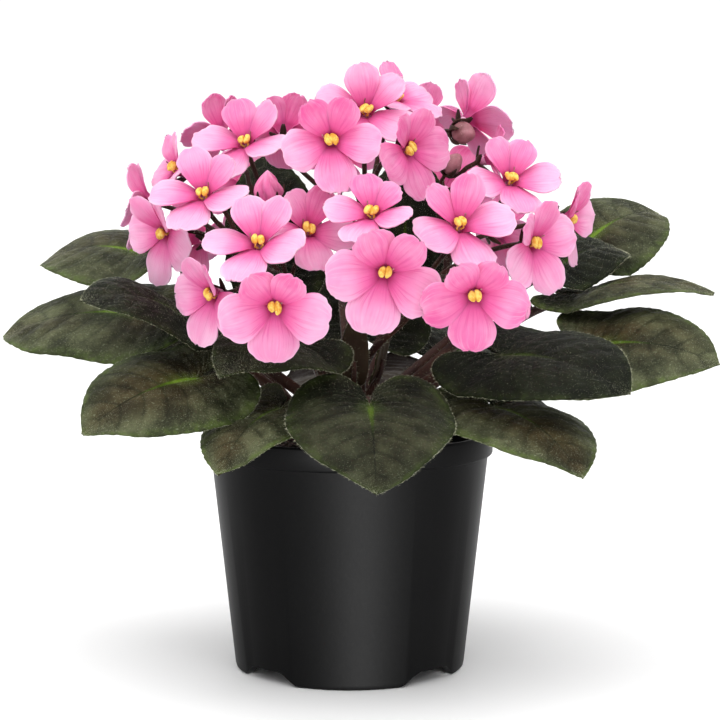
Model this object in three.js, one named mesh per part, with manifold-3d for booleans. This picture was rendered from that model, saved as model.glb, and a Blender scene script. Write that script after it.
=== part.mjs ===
// A potted African violet: a rosette of fleshy heart-shaped leaves round a short crown, a dome of
// five-petalled flowers above it on branching stalks, and the footed nursery pot of soil that it stands in.
//
// Millimetres, +Z up. The origin is on the ground, on the pot's axis. The front is -Y, where an azimuth
// of 0 points, and azimuths grow towards +X.

import * as THREE from 'three';
import { mergeVertices } from 'three/addons/utils/BufferGeometryUtils.js';
import Module from 'manifold-3d';

const wasm = await Module();
wasm.setup();

// Driving dimensions

const GAP = 0.3; // kept between pieces that rest on or in each other

const POT = {
  height: 87,
  rimRadius: 52.4, // outside of the rim band
  shoulderRadius: 50.7, // outside of the wall just under the rim band
  bandHeight: 8,
  baseRadius: 42.2,
  wall: 1.3,
  floorHeight: 5, // underside of the floor, above the feet
  floorRound: 1.2, // between the floor and the wall, inside
  footInset: 1.2, // the foot ring's outside, in from the base radius
  footRise: 1.8, // where the foot ring has widened to the base radius
  footWidth: 2.6,
  sides: 32,
  notches: 4,
  notchAzimuth: 45,
  notchWidth: 29.4, // at the ground
  notchTopWidth: 10.2,
  notchHeight: 4.9,
  notchDepth: 18, // far enough to cut right through the foot ring
  drainRadius: 4,
  drainPlace: 31, // each drain hole's distance from the axis
  drainSides: 8,
};

const SOIL = {
  top: 77.5,
  mound: 1.6, // how much the middle stands up
  lump: 0.5,
  round: 3, // of the lower edge
  slack: 0.35, // more than the wall's flats come in between its corners
  sides: 16,
  rings: 3,
};

const CROWN = { radius: 8, bottom: 64, top: 101, round: 4, sides: 12 };

// Young leaves round the crown's top, by azimuth and by where their blade starts and ends.
const YOUNG = {
  azimuths: [-62, 8, 70],
  root: { radius: 6.4, z: 98 },
  joint: { radius: 11, z: 111 },
  tip: { radius: 19, z: 131 },
  width: 10.5,
  bend: 0.35, // of a grown leaf's arch and wave
  stalk: 1.1,
  columns: [-1, 0, 1],
  everyVein: 2,
};

const LEAF = {
  thickness: 1.2,
  stalkRadius: 2.3, // where the leaf stalk leaves the crown
  stalkTip: 1.5, // where it joins the blade
  stalkSides: 5,
  columns: [-1, -0.5, 0, 0.5, 1],
  fold: 0.16, // how steeply the halves rise from the midrib
  reflex: 0.3, // how far their edges curl down again
  arch: 5,
  wave: 0.9,
  keel: 1.6, // how far the midrib stands out underneath, at the stalk
};

// A blade's side veins, from the notch at the stalk towards the tip: how far out each ends, as a share of
// half the width, and where it ends and where it starts on the midrib, as shares of the length from stalk
// to tip.
const VEINS = [
  { across: 0.09, edge: -0.2, rib: 0 },
  { across: 0.36, edge: -0.32, rib: 0.03 },
  { across: 0.7, edge: -0.31, rib: 0.1 },
  { across: 0.92, edge: -0.15, rib: 0.18 },
  { across: 1, edge: 0.12, rib: 0.3 },
  { across: 0.94, edge: 0.38, rib: 0.46 },
  { across: 0.71, edge: 0.67, rib: 0.66 },
  { across: 0.36, edge: 0.88, rib: 0.84 },
];

const BLOOM = {
  radius: 19,
  thickness: 0.7,
  throat: 2.6,
  joined: 8.2, // petals are one cup inside this radius
  gapRise: 0.5, // how far the cup's edge stands up between two petals
  tubeDepth: 3.5,
  tubeTip: 1.5,
  eyeRadius: 1.9,
  eyeHeight: 3.2,
  eyeRim: 2.2,
};

// One flower's petals. Angle is where each points, seen from the front and anticlockwise from its right.
const PETALS = [
  { angle: 56, length: 0.72, width: 6.2, cup: 0.9 },
  { angle: 124, length: 0.72, width: 6.2, cup: 0.9 },
  { angle: 190, length: 1, width: 8.7, cup: 0.38 },
  { angle: 270, length: 1.08, width: 9, cup: 0.14 },
  { angle: 350, length: 1, width: 8.7, cup: 0.38 },
];

// A petal's lobe beyond the joined cup, as two rows of three points. Out is a share of its reach, w runs
// from its right edge to its left one, and drop is how far the edge curls back.
const LOBE = [
  { out: 0.75, w: -1, drop: 0.3 },
  { out: 0.77, w: 0, drop: 0 },
  { out: 0.75, w: 1, drop: 0.3 },
  { out: 0.95, w: -0.6, drop: 0.4 },
  { out: 1.01, w: 0, drop: 0.2 },
  { out: 0.95, w: 0.6, drop: 0.4 },
];

const STALK = {
  seatRadius: 4.6, // how far from the crown's middle a spray's stalk stands
  straight: 3, // how far it rises before it bends
  root: 1.5,
  fork: 1.15,
  sides: 5,
  branch: 0.95, // a flower's own stalk, where it leaves the fork
  tip: 0.7,
  apart: 0.02, // between the places where they leave it, as a share of the spray's stalk
};
const CALYX = { sepals: 5, reach: 5.2, notch: 2.3, floor: 4.4, rise: 2.6, thickness: 0.9 };

// Where the leaves are
// Joint is where the stalk meets the blade, and tip is the blade's point. Seat is the azimuth and the
// height at which the stalk leaves the crown. Lean tips the upper face towards the front.

const LEAVES = {
  leaf_front: { seat: [4, 84], joint: [7, -62, 104], tip: [9, -104, 80], width: 56, lean: 0 },
  leaf_front_left: { seat: [-30, 89.5], joint: [-24, -43, 100], tip: [-43, -78, 82], width: 40, lean: 0 },
  leaf_left_front: { seat: [-62, 84], joint: [-53, -39, 110], tip: [-90, -59, 93], width: 54, lean: 0.5 },
  leaf_left: { seat: [-86, 89.5], joint: [-74, 6, 129], tip: [-131, 26, 119], width: 54, lean: 0.55 },
  leaf_left_back: { seat: [-108, 84], joint: [-80, 38, 150], tip: [-120, 56, 145], width: 52, lean: 0.4 },
  leaf_right_front: { seat: [46, 84], joint: [50, -46, 101], tip: [77, -82, 82], width: 50, lean: 0.1 },
  leaf_right: { seat: [84, 84], joint: [86, -14, 119], tip: [130, -30, 114], width: 56, lean: 0.6 },
  leaf_right_narrow: { seat: [98, 89.5], joint: [86, 14, 136], tip: [132, -4, 137], width: 38, lean: 0.15 },
  leaf_right_back: { seat: [126, 95], joint: [91, 46, 154], tip: [122, 68, 164], width: 50, lean: 0.5 },
  leaf_inner_front: { seat: [-14, 95], joint: [-17.5, -36, 121.5], tip: [-44, -60, 113], width: 42, lean: 0.4 },
  leaf_inner_left: { seat: [-72, 96], joint: [-60, -22, 131], tip: [-93, -38, 137], width: 46, lean: 0.4 },
  leaf_inner_right: { seat: [52, 95], joint: [53, -38, 118], tip: [94, -68, 108], width: 54, lean: 0.5 },
  leaf_inner_back: { seat: [88, 95], joint: [78, 18, 146], tip: [105, 33, 150], width: 34, lean: 0.4 },
  leaf_back_low: { seat: [172, 84], joint: [4, 60, 103], tip: [3, 104, 80], width: 60, lean: 0.1 },
  leaf_back: { seat: [-164, 89.5], joint: [5, 54, 121], tip: [12, 85, 145], width: 52, lean: 0.9 },
  leaf_back_right: { seat: [134, 84], joint: [34.5, 53, 108.5], tip: [64, 84, 105], width: 58, lean: 0.7 },
  leaf_back_left: { seat: [-136, 84], joint: [-50, 44, 106], tip: [-84, 72, 120], width: 50, lean: 0.7 },
  leaf_upright: { seat: [157, 95], joint: [20, 40, 146], tip: [24, 54, 187], width: 38, lean: 1.4 },
  leaf_upright_left: { seat: [-146, 95], joint: [-28, 38, 146], tip: [-33, 52, 187], width: 38, lean: 1.4 },
};

// Where the flowers are
// Each spray leaves the crown's top at its azimuth and forks at fork. A flower's at is the middle of its
// throat, faces is the azimuth and the height of its gaze in degrees, and turn rolls it clockwise.

const SPRAYS = {
  spray_left: {
    azimuth: -90,
    fork: [-36, -4, 144],
    blooms: [
      { at: [-65, -20, 160], faces: [-48, -5], turn: 16, size: 0.96 },
      { at: [-46, -50, 140], faces: [-45, -2], turn: 14, size: 0.92 },
      { at: [-74, 14, 170], faces: [-100, 15], turn: 0, size: 0.92 },
      { at: [-62, -2, 182], faces: [-62, 28], turn: 0, size: 0.8 },
      { at: [-57, 38, 156], faces: [-130, 15], turn: 0, size: 0.95 },
      { at: [-47, 18, 195], faces: [-130, 40], turn: 0, size: 0.85 },
    ],
    buds: [],
  },
  spray_front_left: {
    azimuth: -38,
    fork: [-22, -26, 142],
    blooms: [
      { at: [-50, -38, 173], faces: [-18, 50], turn: 8, size: 1 },
      { at: [-30, -59, 157], faces: [-12, 50], turn: 8, size: 1 },
      { at: [-24, -78, 138], faces: [0, -10], turn: 0, size: 1 },
      { at: [-37, -10, 191], faces: [-20, 50], turn: 10, size: 1 },
      { at: [-14, -44, 161], faces: [16, 38], turn: 0, size: 0.88 },
    ],
    buds: [{ at: [-28, -36, 176], faces: [0, 60], length: 11, width: 8 }],
  },
  spray_front_right: {
    azimuth: 40,
    fork: [26, -26, 140],
    blooms: [
      { at: [8, -58, 167], faces: [-14, 52], turn: 12, size: 0.84 },
      { at: [12, -74, 149], faces: [0, -4], turn: 14, size: 1.08 },
      { at: [37, -56, 163], faces: [16, 40], turn: -14, size: 1 },
      { at: [41, -78, 142], faces: [5, -10], turn: 0, size: 0.96 },
      { at: [63, -40, 157], faces: [40, 5], turn: -26, size: 0.95 },
    ],
    buds: [{ at: [59, -46, 134], faces: [30, -30], length: 9, width: 6.5 }],
  },
  spray_right: {
    azimuth: 104,
    fork: [36, 0, 150],
    blooms: [
      { at: [56, -30, 178], faces: [16, 46], turn: 0, size: 0.9 },
      { at: [78, -8, 164], faces: [64, 8], turn: -14, size: 0.88 },
      { at: [50, -9, 186], faces: [80, 20], turn: 0, size: 0.72 },
      { at: [56, 42, 158], faces: [125, 15], turn: 0, size: 0.95 },
    ],
    buds: [{ at: [37, -10, 184], faces: [60, 50], length: 9, width: 6.5 }],
  },
  spray_top: {
    azimuth: 148,
    fork: [6, -2, 162],
    blooms: [
      { at: [-6, -44, 192], faces: [0, 14], turn: -4, size: 0.93 },
      { at: [6, -14, 202], faces: [5, 40], turn: 20, size: 1.02 },
      { at: [20, -34, 189], faces: [38, 10], turn: -14, size: 0.93 },
      { at: [43, 10, 200], faces: [130, 30], turn: 0, size: 0.98 },
      { at: [26, 34, 200], faces: [160, 45], turn: 0, size: 0.85 },
      { at: [17, 9, 207], faces: [40, 60], turn: -25, size: 0.85 },
      { at: [-24, 6, 195], faces: [180, 35], turn: 0, size: 0.85 },
    ],
    buds: [{ at: [41, -6, 195], faces: [60, -10], length: 9, width: 8 }],
  },
  spray_back: {
    azimuth: -166,
    fork: [-4, 54, 144],
    blooms: [
      { at: [38, 62, 174], faces: [150, 25], turn: 0, size: 1 },
      { at: [-4, 68, 188], faces: [180, 35], turn: 0, size: 1 },
      { at: [-40, 60, 174], faces: [-150, 20], turn: 0, size: 1 },
      { at: [18, 82, 158], faces: [170, 5], turn: 0, size: 1 },
      { at: [-26, 80, 154], faces: [-165, 5], turn: 0, size: 1 },
    ],
    buds: [],
  },
};

// Helpers

const UP = new THREE.Vector3(0, 0, 1);
const FRONT = new THREE.Vector3(0, -1, 0);
const radians = THREE.MathUtils.degToRad;
const place = (xyz) => new THREE.Vector3(...xyz);

// A level direction and a height, as a point.
function around(azimuth, radius, z) {
  return new THREE.Vector3(radius * Math.sin(radians(azimuth)), -radius * Math.cos(radians(azimuth)), z);
}

// The direction of a gaze at an azimuth and a height above level.
function gaze([azimuth, height]) {
  return around(azimuth, Math.cos(radians(height)), Math.sin(radians(height)));
}

// The same draw from -1 to 1 for the same two numbers.
function vary(a, b) {
  const s = Math.sin(a * 12.9898 + b * 78.233) * 43758.5453;
  return 2 * (s - Math.floor(s)) - 1;
}

function solidOf(geometry) {
  const bare = new THREE.BufferGeometry();
  bare.setAttribute('position', geometry.getAttribute('position').clone());
  if (geometry.index) bare.setIndex(geometry.index.clone());
  const merged = mergeVertices(bare, 1e-4);
  return new wasm.Manifold(
    new wasm.Mesh({
      numProp: 3,
      vertProperties: new Float32Array(merged.attributes.position.array),
      triVerts: new Uint32Array(merged.index.array),
    }),
  );
}

function geometryOf(solid) {
  const mesh = solid.getMesh();
  const geometry = new THREE.BufferGeometry();
  geometry.setAttribute('position', new THREE.BufferAttribute(new Float32Array(mesh.vertProperties), 3));
  geometry.setIndex(new THREE.BufferAttribute(new Uint32Array(mesh.triVerts), 1));
  geometry.computeVertexNormals();
  return geometry;
}

function union(geometries) {
  return geometryOf(geometries.map(solidOf).reduce((all, one) => all.add(one)));
}

function geometryFrom(points, triangles) {
  const geometry = new THREE.BufferGeometry().setFromPoints(points);
  geometry.setIndex(triangles.flat());
  geometry.computeVertexNormals();
  return geometry;
}

// A solid of revolution about Z from [radius, height] pairs that start and end on the axis, bottom to top.
function turned(profile, sides) {
  const lathe = new THREE.LatheGeometry(profile.map(([r, z]) => new THREE.Vector2(r, z)), sides);
  return lathe.rotateX(Math.PI / 2);
}

// Rings of points round a path, with a radius at each of its points. A first normal sets where each starts.
function ringsAlong(path, radii, sides, firstNormal) {
  const steps = path.length - 1;
  const normal = new THREE.Vector3();
  return path.map((middle, i) => {
    const heading = path[Math.min(i + 1, steps)].clone().sub(path[Math.max(i - 1, 0)]).normalize();
    if (i === 0) normal.copy(firstNormal || heading.clone().cross(Math.abs(heading.z) < 0.9 ? UP : FRONT));
    normal.addScaledVector(heading, -normal.dot(heading)).normalize();
    const other = heading.clone().cross(normal);
    return Array.from({ length: sides }, (_, k) => {
      const turn = (2 * Math.PI * k) / sides;
      return middle
        .clone()
        .addScaledVector(normal, radii[i] * Math.cos(turn))
        .addScaledVector(other, radii[i] * Math.sin(turn));
    });
  });
}

// The triangles between rings of points, and over the last ring.
function wallsOf(rings) {
  const sides = rings[0].length;
  const last = (rings.length - 1) * sides;
  const triangles = [];
  for (let i = 0; i < last; i += sides) {
    for (let k = 0; k < sides; k++) {
      const [a, b] = [i + k, i + ((k + 1) % sides)];
      triangles.push([a, b, b + sides], [a, b + sides, a + sides]);
    }
  }
  for (let k = 1; k < sides - 1; k++) triangles.push([last, last + k, last + k + 1]);
  return triangles;
}

function stem(path, radii, sides) {
  const rings = ringsAlong(path, radii, sides);
  const triangles = wallsOf(rings);
  for (let k = 1; k < sides - 1; k++) triangles.push([0, k + 1, k]);
  return geometryFrom(rings.flat(), triangles);
}

function taper(from, to, count) {
  return Array.from({ length: count }, (_, i) => from + ((to - from) * i) / (count - 1));
}

const material = (color, roughness) => new THREE.MeshStandardMaterial({ color, roughness, metalness: 0 });

const FINISH = {
  pot: material(0x1b1c1d, 0.42),
  soil: material(0x2a1f18, 1),
  crown: material(0x4a2b2a, 0.8),
  leaf: material(0x4a5440, 0.75),
  stalk: material(0x4d2b2d, 0.7),
  petal: material(0xf088bd, 0.6),
};

function named(name, geometry, finish) {
  const mesh = new THREE.Mesh(geometry, finish);
  mesh.name = name;
  return mesh;
}

// Pot, soil and crown

const SHOULDER = POT.height - POT.bandHeight;

// The pot's inside radius at a height, from where its floor's round ends up to the shoulder.
function potInside(z) {
  const low = POT.floorHeight + POT.wall + POT.floorRound;
  const atFloor = POT.baseRadius + 0.2;
  return THREE.MathUtils.mapLinear(z, low, SHOULDER, atFloor, POT.shoulderRadius) - POT.wall;
}

function makePot() {
  const p = POT;
  const shoulder = SHOULDER;
  const floorTop = p.floorHeight + p.wall;
  const footOutside = p.baseRadius - p.footInset;
  const footInside = footOutside - p.footWidth;
  const body = turned(
    [
      [0, p.floorHeight],
      [footInside, p.floorHeight],
      [footInside, 0],
      [footOutside, 0],
      [p.baseRadius, p.footRise],
      [p.shoulderRadius, shoulder - 0.6],
      [p.rimRadius - 0.4, shoulder + 0.4],
      [p.rimRadius, p.height - 0.8],
      [p.rimRadius - 0.8, p.height],
      [p.rimRadius - 2, p.height],
      [potInside(shoulder), shoulder],
      [potInside(floorTop + p.floorRound), floorTop + p.floorRound],
      [potInside(floorTop) - p.floorRound, floorTop],
      [0, floorTop],
    ],
    p.sides,
  );
  let pot = solidOf(body);
  const slope = (p.notchWidth - p.notchTopWidth) / 2;
  const halfTop = p.notchTopWidth / 2;
  const arch = new THREE.Shape();
  arch.moveTo(-halfTop - slope, -1);
  arch.lineTo(halfTop + slope, -1);
  const side = [
    [1, 0],
    [0.62, 0.3],
    [0.3, 0.8],
    [0, 1],
  ];
  side.forEach(([share, rise]) => arch.lineTo(halfTop + slope * share, p.notchHeight * rise));
  side.reverse().forEach(([share, rise]) => arch.lineTo(-halfTop - slope * share, p.notchHeight * rise));
  for (let k = 0; k < p.notches; k++) {
    const azimuth = p.notchAzimuth + (360 / p.notches) * k;
    const notch = new THREE.ExtrudeGeometry(arch, { depth: p.notchDepth, bevelEnabled: false });
    notch.rotateX(Math.PI / 2);
    notch.translate(0, -footInside + p.footWidth, 0);
    notch.rotateZ(radians(azimuth));
    pot = pot.subtract(solidOf(notch));
    const drain = new THREE.CylinderGeometry(p.drainRadius, p.drainRadius, 4 * floorTop, p.drainSides);
    const middle = around(azimuth, p.drainPlace, p.floorHeight);
    drain.rotateX(Math.PI / 2).translate(middle.x, middle.y, middle.z);
    pot = pot.subtract(solidOf(drain));
  }
  return named('pot', geometryOf(pot), FINISH.pot);
}

function makeSoil() {
  const top = (r, k) => {
    const share = r / POT.rimRadius;
    return SOIL.top + SOIL.mound * (1 - share * share) + SOIL.lump * vary(k, Math.round(r));
  };
  const inner = (z) => potInside(z) - GAP - SOIL.slack;
  const low = POT.floorHeight + POT.wall + GAP;
  const outer = inner(SOIL.top);
  const hole = CROWN.radius + 2 * GAP;
  const depth = CROWN.bottom - GAP;
  const rings = [{ r: hole, z: () => depth }];
  for (let i = 0; i <= SOIL.rings; i++) {
    const r = hole + ((outer - hole) * i) / SOIL.rings;
    rings.push({ r, z: (k) => top(r, k) });
  }
  rings.push({ r: inner(low + SOIL.round), z: () => low + SOIL.round });
  rings.push({ r: inner(low) - SOIL.round, z: () => low });
  const points = rings.flatMap(({ r, z }) =>
    Array.from({ length: SOIL.sides }, (_, k) => around((360 * k) / SOIL.sides, r, z(k))),
  );
  const [floorMiddle, holeMiddle] = [points.length, points.length + 1];
  points.push(new THREE.Vector3(0, 0, low), new THREE.Vector3(0, 0, depth));
  const triangles = [];
  const n = SOIL.sides;
  const last = (rings.length - 1) * n;
  for (let k = 0; k < n; k++) {
    const next = (k + 1) % n;
    for (let i = 0; i < rings.length - 1; i++) {
      const [a, b] = [i * n + k, i * n + next];
      triangles.push([a, a + n, b + n], [a, b + n, b]);
    }
    triangles.push([last + k, floorMiddle, last + next], [k, next, holeMiddle]);
  }
  return named('soil', geometryFrom(points, triangles), FINISH.soil);
}

function makeCrown() {
  const c = CROWN;
  const profile = [
    [0, c.bottom],
    [c.radius - c.round / 2, c.bottom],
    [c.radius, c.bottom + c.round],
    [c.radius, c.top - c.round / 4],
    [c.radius - c.round / 4, c.top],
    [0, c.top],
  ];
  const pieces = [turned(profile, c.sides), ...YOUNG.azimuths.flatMap(makeYoung)];
  return named('crown', union(pieces), FINISH.crown);
}

function makeYoung(azimuth, index) {
  const y = YOUNG;
  const spot = ({ radius, z }) => around(azimuth, radius, z);
  const upper = spot(y.joint).sub(spot(y.tip)).setZ(y.tip.radius - y.joint.radius);
  const ends = { joint: spot(y.joint).toArray(), tip: spot(y.tip).toArray() };
  const leaf = { ...ends, width: y.width, bend: y.bend, upper };
  const frame = bladeFrame(leaf);
  const rows = VEINS.filter((vein, i) => i % y.everyVein === 0);
  const under = ribPoint(leaf, frame, 0.15).addScaledVector(frame.face, -LEAF.thickness);
  const path = [spot(y.root), ribPoint(leaf, frame, 0).addScaledVector(frame.face, -LEAF.thickness), under];
  return [makeBlade(leaf, frame, index, rows, y.columns), stem(path, [y.stalk, y.stalk, y.stalk / 2], 4)];
}

// Leaves

// The frame of a blade: its length, and the directions along it, across it and out of its upper face.
function bladeFrame({ joint, tip, lean, upper }) {
  const along = place(tip).sub(place(joint));
  const length = along.length();
  along.normalize();
  const face = upper ? upper.clone() : new THREE.Vector3(0, -lean, 1);
  face.addScaledVector(along, -face.dot(along)).normalize();
  return { length, along, across: along.clone().cross(face), face };
}

// A point of the upper face. W runs from -1 to 1 along a pair of side veins, from the left edge to the
// right one.
function bladePoint(leaf, frame, vein, w, wave) {
  const half = leaf.width / 2;
  const across = vein.across * half * w;
  const along = THREE.MathUtils.lerp(vein.rib, vein.edge, Math.abs(w));
  const rise = LEAF.arch * (leaf.bend ?? 1);
  const arch = along > 0 ? 4 * rise * along * (1 - along) : rise * along * along;
  const halves = LEAF.fold * Math.abs(across) - (LEAF.reflex * across * across) / half;
  return place(leaf.joint)
    .addScaledVector(frame.along, along * frame.length)
    .addScaledVector(frame.across, across)
    .addScaledVector(frame.face, arch + halves + wave * w * w);
}

function ribPoint(leaf, frame, share) {
  return bladePoint(leaf, frame, { across: 0, edge: share, rib: share }, 0, 0);
}

function makeBlade(leaf, frame, index, rows = VEINS, across = LEAF.columns) {
  const columns = across.length;
  const bend = leaf.bend ?? 1;
  const wave = (i, w) => LEAF.wave * bend * vary(index, i + (w > 0 ? 20 : 0));
  const top = rows.flatMap((vein, i) => across.map((w) => bladePoint(leaf, frame, vein, w, wave(i, w))));
  top.push(ribPoint(leaf, frame, 1));
  const under = top.map((p, k) => {
    const vein = rows[Math.floor(k / columns)];
    const keel = vein && k % columns === (columns - 1) / 2 ? LEAF.keel * bend * (1 - vein.rib) : 0;
    return p.clone().addScaledVector(frame.face, -LEAF.thickness - keel);
  });
  const face = [];
  const bands = rows.length - 1;
  for (let i = 0; i < bands; i++) {
    for (let j = 0; j < columns - 1; j++) {
      const a = i * columns + j;
      const left = j < (columns - 1) / 2;
      if (left) {
        face.push([a, a + 1, a + columns], [a + 1, a + columns + 1, a + columns]);
      } else {
        face.push([a, a + 1, a + columns + 1], [a, a + columns + 1, a + columns]);
      }
    }
  }
  const [lastRow, point] = [bands * columns, top.length - 1];
  for (let j = 0; j < columns - 1; j++) face.push([lastRow + j, lastRow + j + 1, point]);
  const edge = [];
  for (let j = 0; j < columns - 1; j++) edge.push(j);
  for (let i = 0; i < bands; i++) edge.push(i * columns + columns - 1);
  edge.push(lastRow + columns - 1, point);
  for (let i = bands; i > 0; i--) edge.push(i * columns);
  return shellOf(top, under, face, edge);
}

// Closes two like faces with the strip round their common edge, which runs anticlockwise seen from the top.
function shellOf(top, under, face, edge) {
  const n = top.length;
  const triangles = [...face, ...face.map(([a, b, c]) => [a + n, c + n, b + n])];
  edge.forEach((a, i) => {
    const b = edge[(i + 1) % edge.length];
    triangles.push([a, a + n, b + n], [a, b + n, b]);
  });
  return geometryFrom([...top, ...under], triangles);
}

function makeLeaf(name, leaf, index) {
  const frame = bladeFrame(leaf);
  const [azimuth, height] = leaf.seat;
  const seat = around(azimuth, CROWN.radius + GAP, height);
  const start = around(azimuth, CROWN.radius + GAP + LEAF.stalkRadius, height);
  const joint = ribPoint(leaf, frame, 0).addScaledVector(frame.face, -LEAF.thickness - LEAF.keel / 2);
  const under = ribPoint(leaf, frame, 0.2).addScaledVector(frame.face, -LEAF.thickness - LEAF.keel / 2);
  const span = start.distanceTo(joint);
  const slope = (joint.z - start.z) / Math.hypot(joint.x - start.x, joint.y - start.y);
  const bend = new THREE.CubicBezierCurve3(
    start,
    start.clone().addScaledVector(around(azimuth, 1, slope), span * 0.35),
    joint.clone().addScaledVector(frame.along, -span * 0.3).addScaledVector(frame.face, -1),
    joint,
  );
  const path = [seat, ...[0, 0.4, 0.75, 1].map((t) => bend.getPoint(t)), under];
  const radii = [...taper(LEAF.stalkRadius, LEAF.stalkTip, path.length - 1), LEAF.stalkTip / 2];
  const stalk = stem(path, radii, LEAF.stalkSides);
  return named(name, union([makeBlade(leaf, frame, index), stalk]), FINISH.leaf);
}

// Flowers

// How high a petal stands above the throat at a share of the flower's radius.
function cupHeight(cup, share) {
  return cup * share * (1 - 0.35 * share);
}

// A corolla that faces +Z, with its two upper petals towards +Y, and its throat's middle at the origin.
function makeCorolla(size, index) {
  const b = BLOOM;
  const radius = b.radius * size;
  const ring = (r, z) => (degrees) =>
    new THREE.Vector3(r * Math.cos(radians(degrees)), r * Math.sin(radians(degrees)), z);
  const top = [];
  const face = [];
  const count = PETALS.length;
  const petals = PETALS.map((petal, i) => {
    const before = PETALS[(i + count - 1) % count];
    const apart = (petal.angle - before.angle + 360) % 360;
    return {
      ...petal,
      gap: petal.angle - apart / 2,
      gapCup: (petal.cup + before.cup) / 2,
      reach: radius * petal.length * (1 + 0.04 * vary(index, i)),
      half: petal.width * size,
      lift: petal.cup + 0.08 * vary(index, i + 7),
      twist: 0.06 * vary(index, i + 13),
    };
  });
  // Throat and joined cup: for each petal its gap to the petal before it, then its middle.
  petals.forEach((petal) => top.push(ring(b.throat, 0)(petal.gap), ring(b.throat, 0)(petal.angle)));
  petals.forEach((petal) => {
    const r = b.joined * size;
    const share = r / radius;
    top.push(ring(r, radius * cupHeight(petal.gapCup, share) + b.gapRise)(petal.gap));
    top.push(ring(r, radius * cupHeight(petal.lift, share))(petal.angle));
  });
  const cup = 2 * count;
  for (let k = 0; k < cup; k++) {
    const [a, c] = [k, (k + 1) % cup];
    face.push([a, cup + a, cup + c], [a, cup + c, c]);
  }
  const edge = [];
  petals.forEach((petal, i) => {
    const direction = ring(1, 0)(petal.angle);
    const side = ring(1, 0)(petal.angle + 90);
    const lobe = ({ out, w, drop }) => {
      const r = petal.reach * out;
      const z = radius * cupHeight(petal.lift, r / radius) + petal.twist * w * petal.half - drop;
      return direction.clone().multiplyScalar(r).addScaledVector(side, w * petal.half).setZ(z);
    };
    const [l2, m2, r2, l3, m3, r3] = LOBE.map((point, k) => top.length + k);
    top.push(...LOBE.map(lobe));
    const [gap, middle, nextGap] = [cup + 2 * i, cup + 2 * i + 1, cup + ((2 * i + 2) % cup)];
    face.push([gap, l2, m2], [gap, m2, middle], [middle, m2, r2], [middle, r2, nextGap]);
    face.push([l2, l3, m3], [l2, m3, m2], [m2, m3, r3], [m2, r3, r2]);
    edge.push(gap, l2, l3, m3, r3, r2);
  });
  // The under face follows the top one, and the throat carries the tube below and the eye above.
  const under = top.map((p) => p.clone().setZ(p.z - b.thickness));
  const n = top.length;
  const triangles = [...face, ...face.map(([p, q, r]) => [p + n, r + n, q + n])];
  edge.forEach((a, i) => {
    const c = edge[(i + 1) % edge.length];
    triangles.push([a, a + n, c + n], [a, c + n, c]);
  });
  const points = [...top, ...under];
  const tube = points.length;
  petals.forEach((petal) => points.push(ring(b.tubeTip, -b.tubeDepth)(petal.angle)));
  const eye = points.length;
  petals.forEach((petal) => points.push(ring(b.eyeRadius, b.eyeRim)(petal.angle)));
  const [tubeEnd, eyeTop] = [points.length, points.length + 1];
  points.push(new THREE.Vector3(0, 0, -b.tubeDepth), new THREE.Vector3(0, 0, b.eyeHeight));
  for (let i = 0; i < count; i++) {
    const next = (i + 1) % count;
    const [gap, middle, nextGap] = [2 * i, 2 * i + 1, (2 * i + 2) % cup];
    triangles.push([gap, middle, eye + i], [middle, nextGap, eye + i], [nextGap, eye + next, eye + i]);
    triangles.push([n + gap, tube + i, n + middle], [n + middle, tube + i, n + nextGap]);
    triangles.push([n + nextGap, tube + i, tube + next]);
    triangles.push([eye + i, eye + next, eyeTop], [tube + i, tubeEnd, tube + next]);
  }
  return geometryFrom(points, triangles);
}

// Turns a corolla's frame so that it looks along its gaze, with its upper petals up, rolled by its turn.
function lookAlong(faces, turn) {
  const out = gaze(faces);
  const right = new THREE.Vector3(0, 0, 1).cross(out).normalize();
  const up = out.clone().cross(right);
  const basis = new THREE.Matrix4().makeBasis(right, up, out);
  return new THREE.Quaternion()
    .setFromRotationMatrix(basis)
    .multiply(new THREE.Quaternion().setFromAxisAngle(new THREE.Vector3(0, 0, 1), -radians(turn)));
}

// A path from under a flower or a bud back and down to where its stalk leaves the spray. Out is where the
// flower or bud looks.
function sprigPath(end, out, from) {
  const span = from.distanceTo(end);
  const bend = new THREE.CubicBezierCurve3(
    end,
    end.clone().addScaledVector(out, -span * 0.35),
    from.clone().addScaledVector(UP, span * 0.25).lerp(end, 0.15),
    from,
  );
  return bend.getPoints(3);
}

// A flower's own stalk, from the star of five sepals under the flower back to where it leaves the spray.
// The star holds the flower's tube with a gap, and the stalk's sides run on into it.
function makeSprig({ at, faces, turn }, from) {
  const c = CALYX;
  const pose = lookAlong(faces, turn);
  const set = (r, degrees, z) => {
    const spot = new THREE.Vector3(r * Math.cos(radians(degrees)), r * Math.sin(radians(degrees)), z);
    return spot.applyQuaternion(pose).add(place(at));
  };
  const path = sprigPath(set(0, 0, -c.floor - c.thickness), gaze(faces), from);
  const corner = set(1, 90, 0).sub(place(at));
  const rings = ringsAlong(path, taper(STALK.tip, STALK.branch, path.length), c.sepals, corner);
  const points = rings.flat();
  const star = points.length;
  for (let k = 0; k < 2 * c.sepals; k++) {
    const r = k % 2 ? c.notch : c.reach;
    points.push(set(r, 90 - (180 / c.sepals) * k, -c.floor + (c.rise * r) / c.reach));
  }
  const middle = points.length;
  points.push(set(0, 0, -c.floor));
  const triangles = wallsOf(rings);
  for (let k = 0; k < c.sepals; k++) {
    const next = (k + 1) % c.sepals;
    const [sepal, notch, nextSepal] = [star + 2 * k, star + 2 * k + 1, star + 2 * next];
    triangles.push([k, sepal, notch], [k, notch, next], [next, notch, nextSepal]);
    triangles.push([notch, sepal, middle], [nextSepal, notch, middle]);
  }
  return geometryFrom(points, triangles);
}

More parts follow.
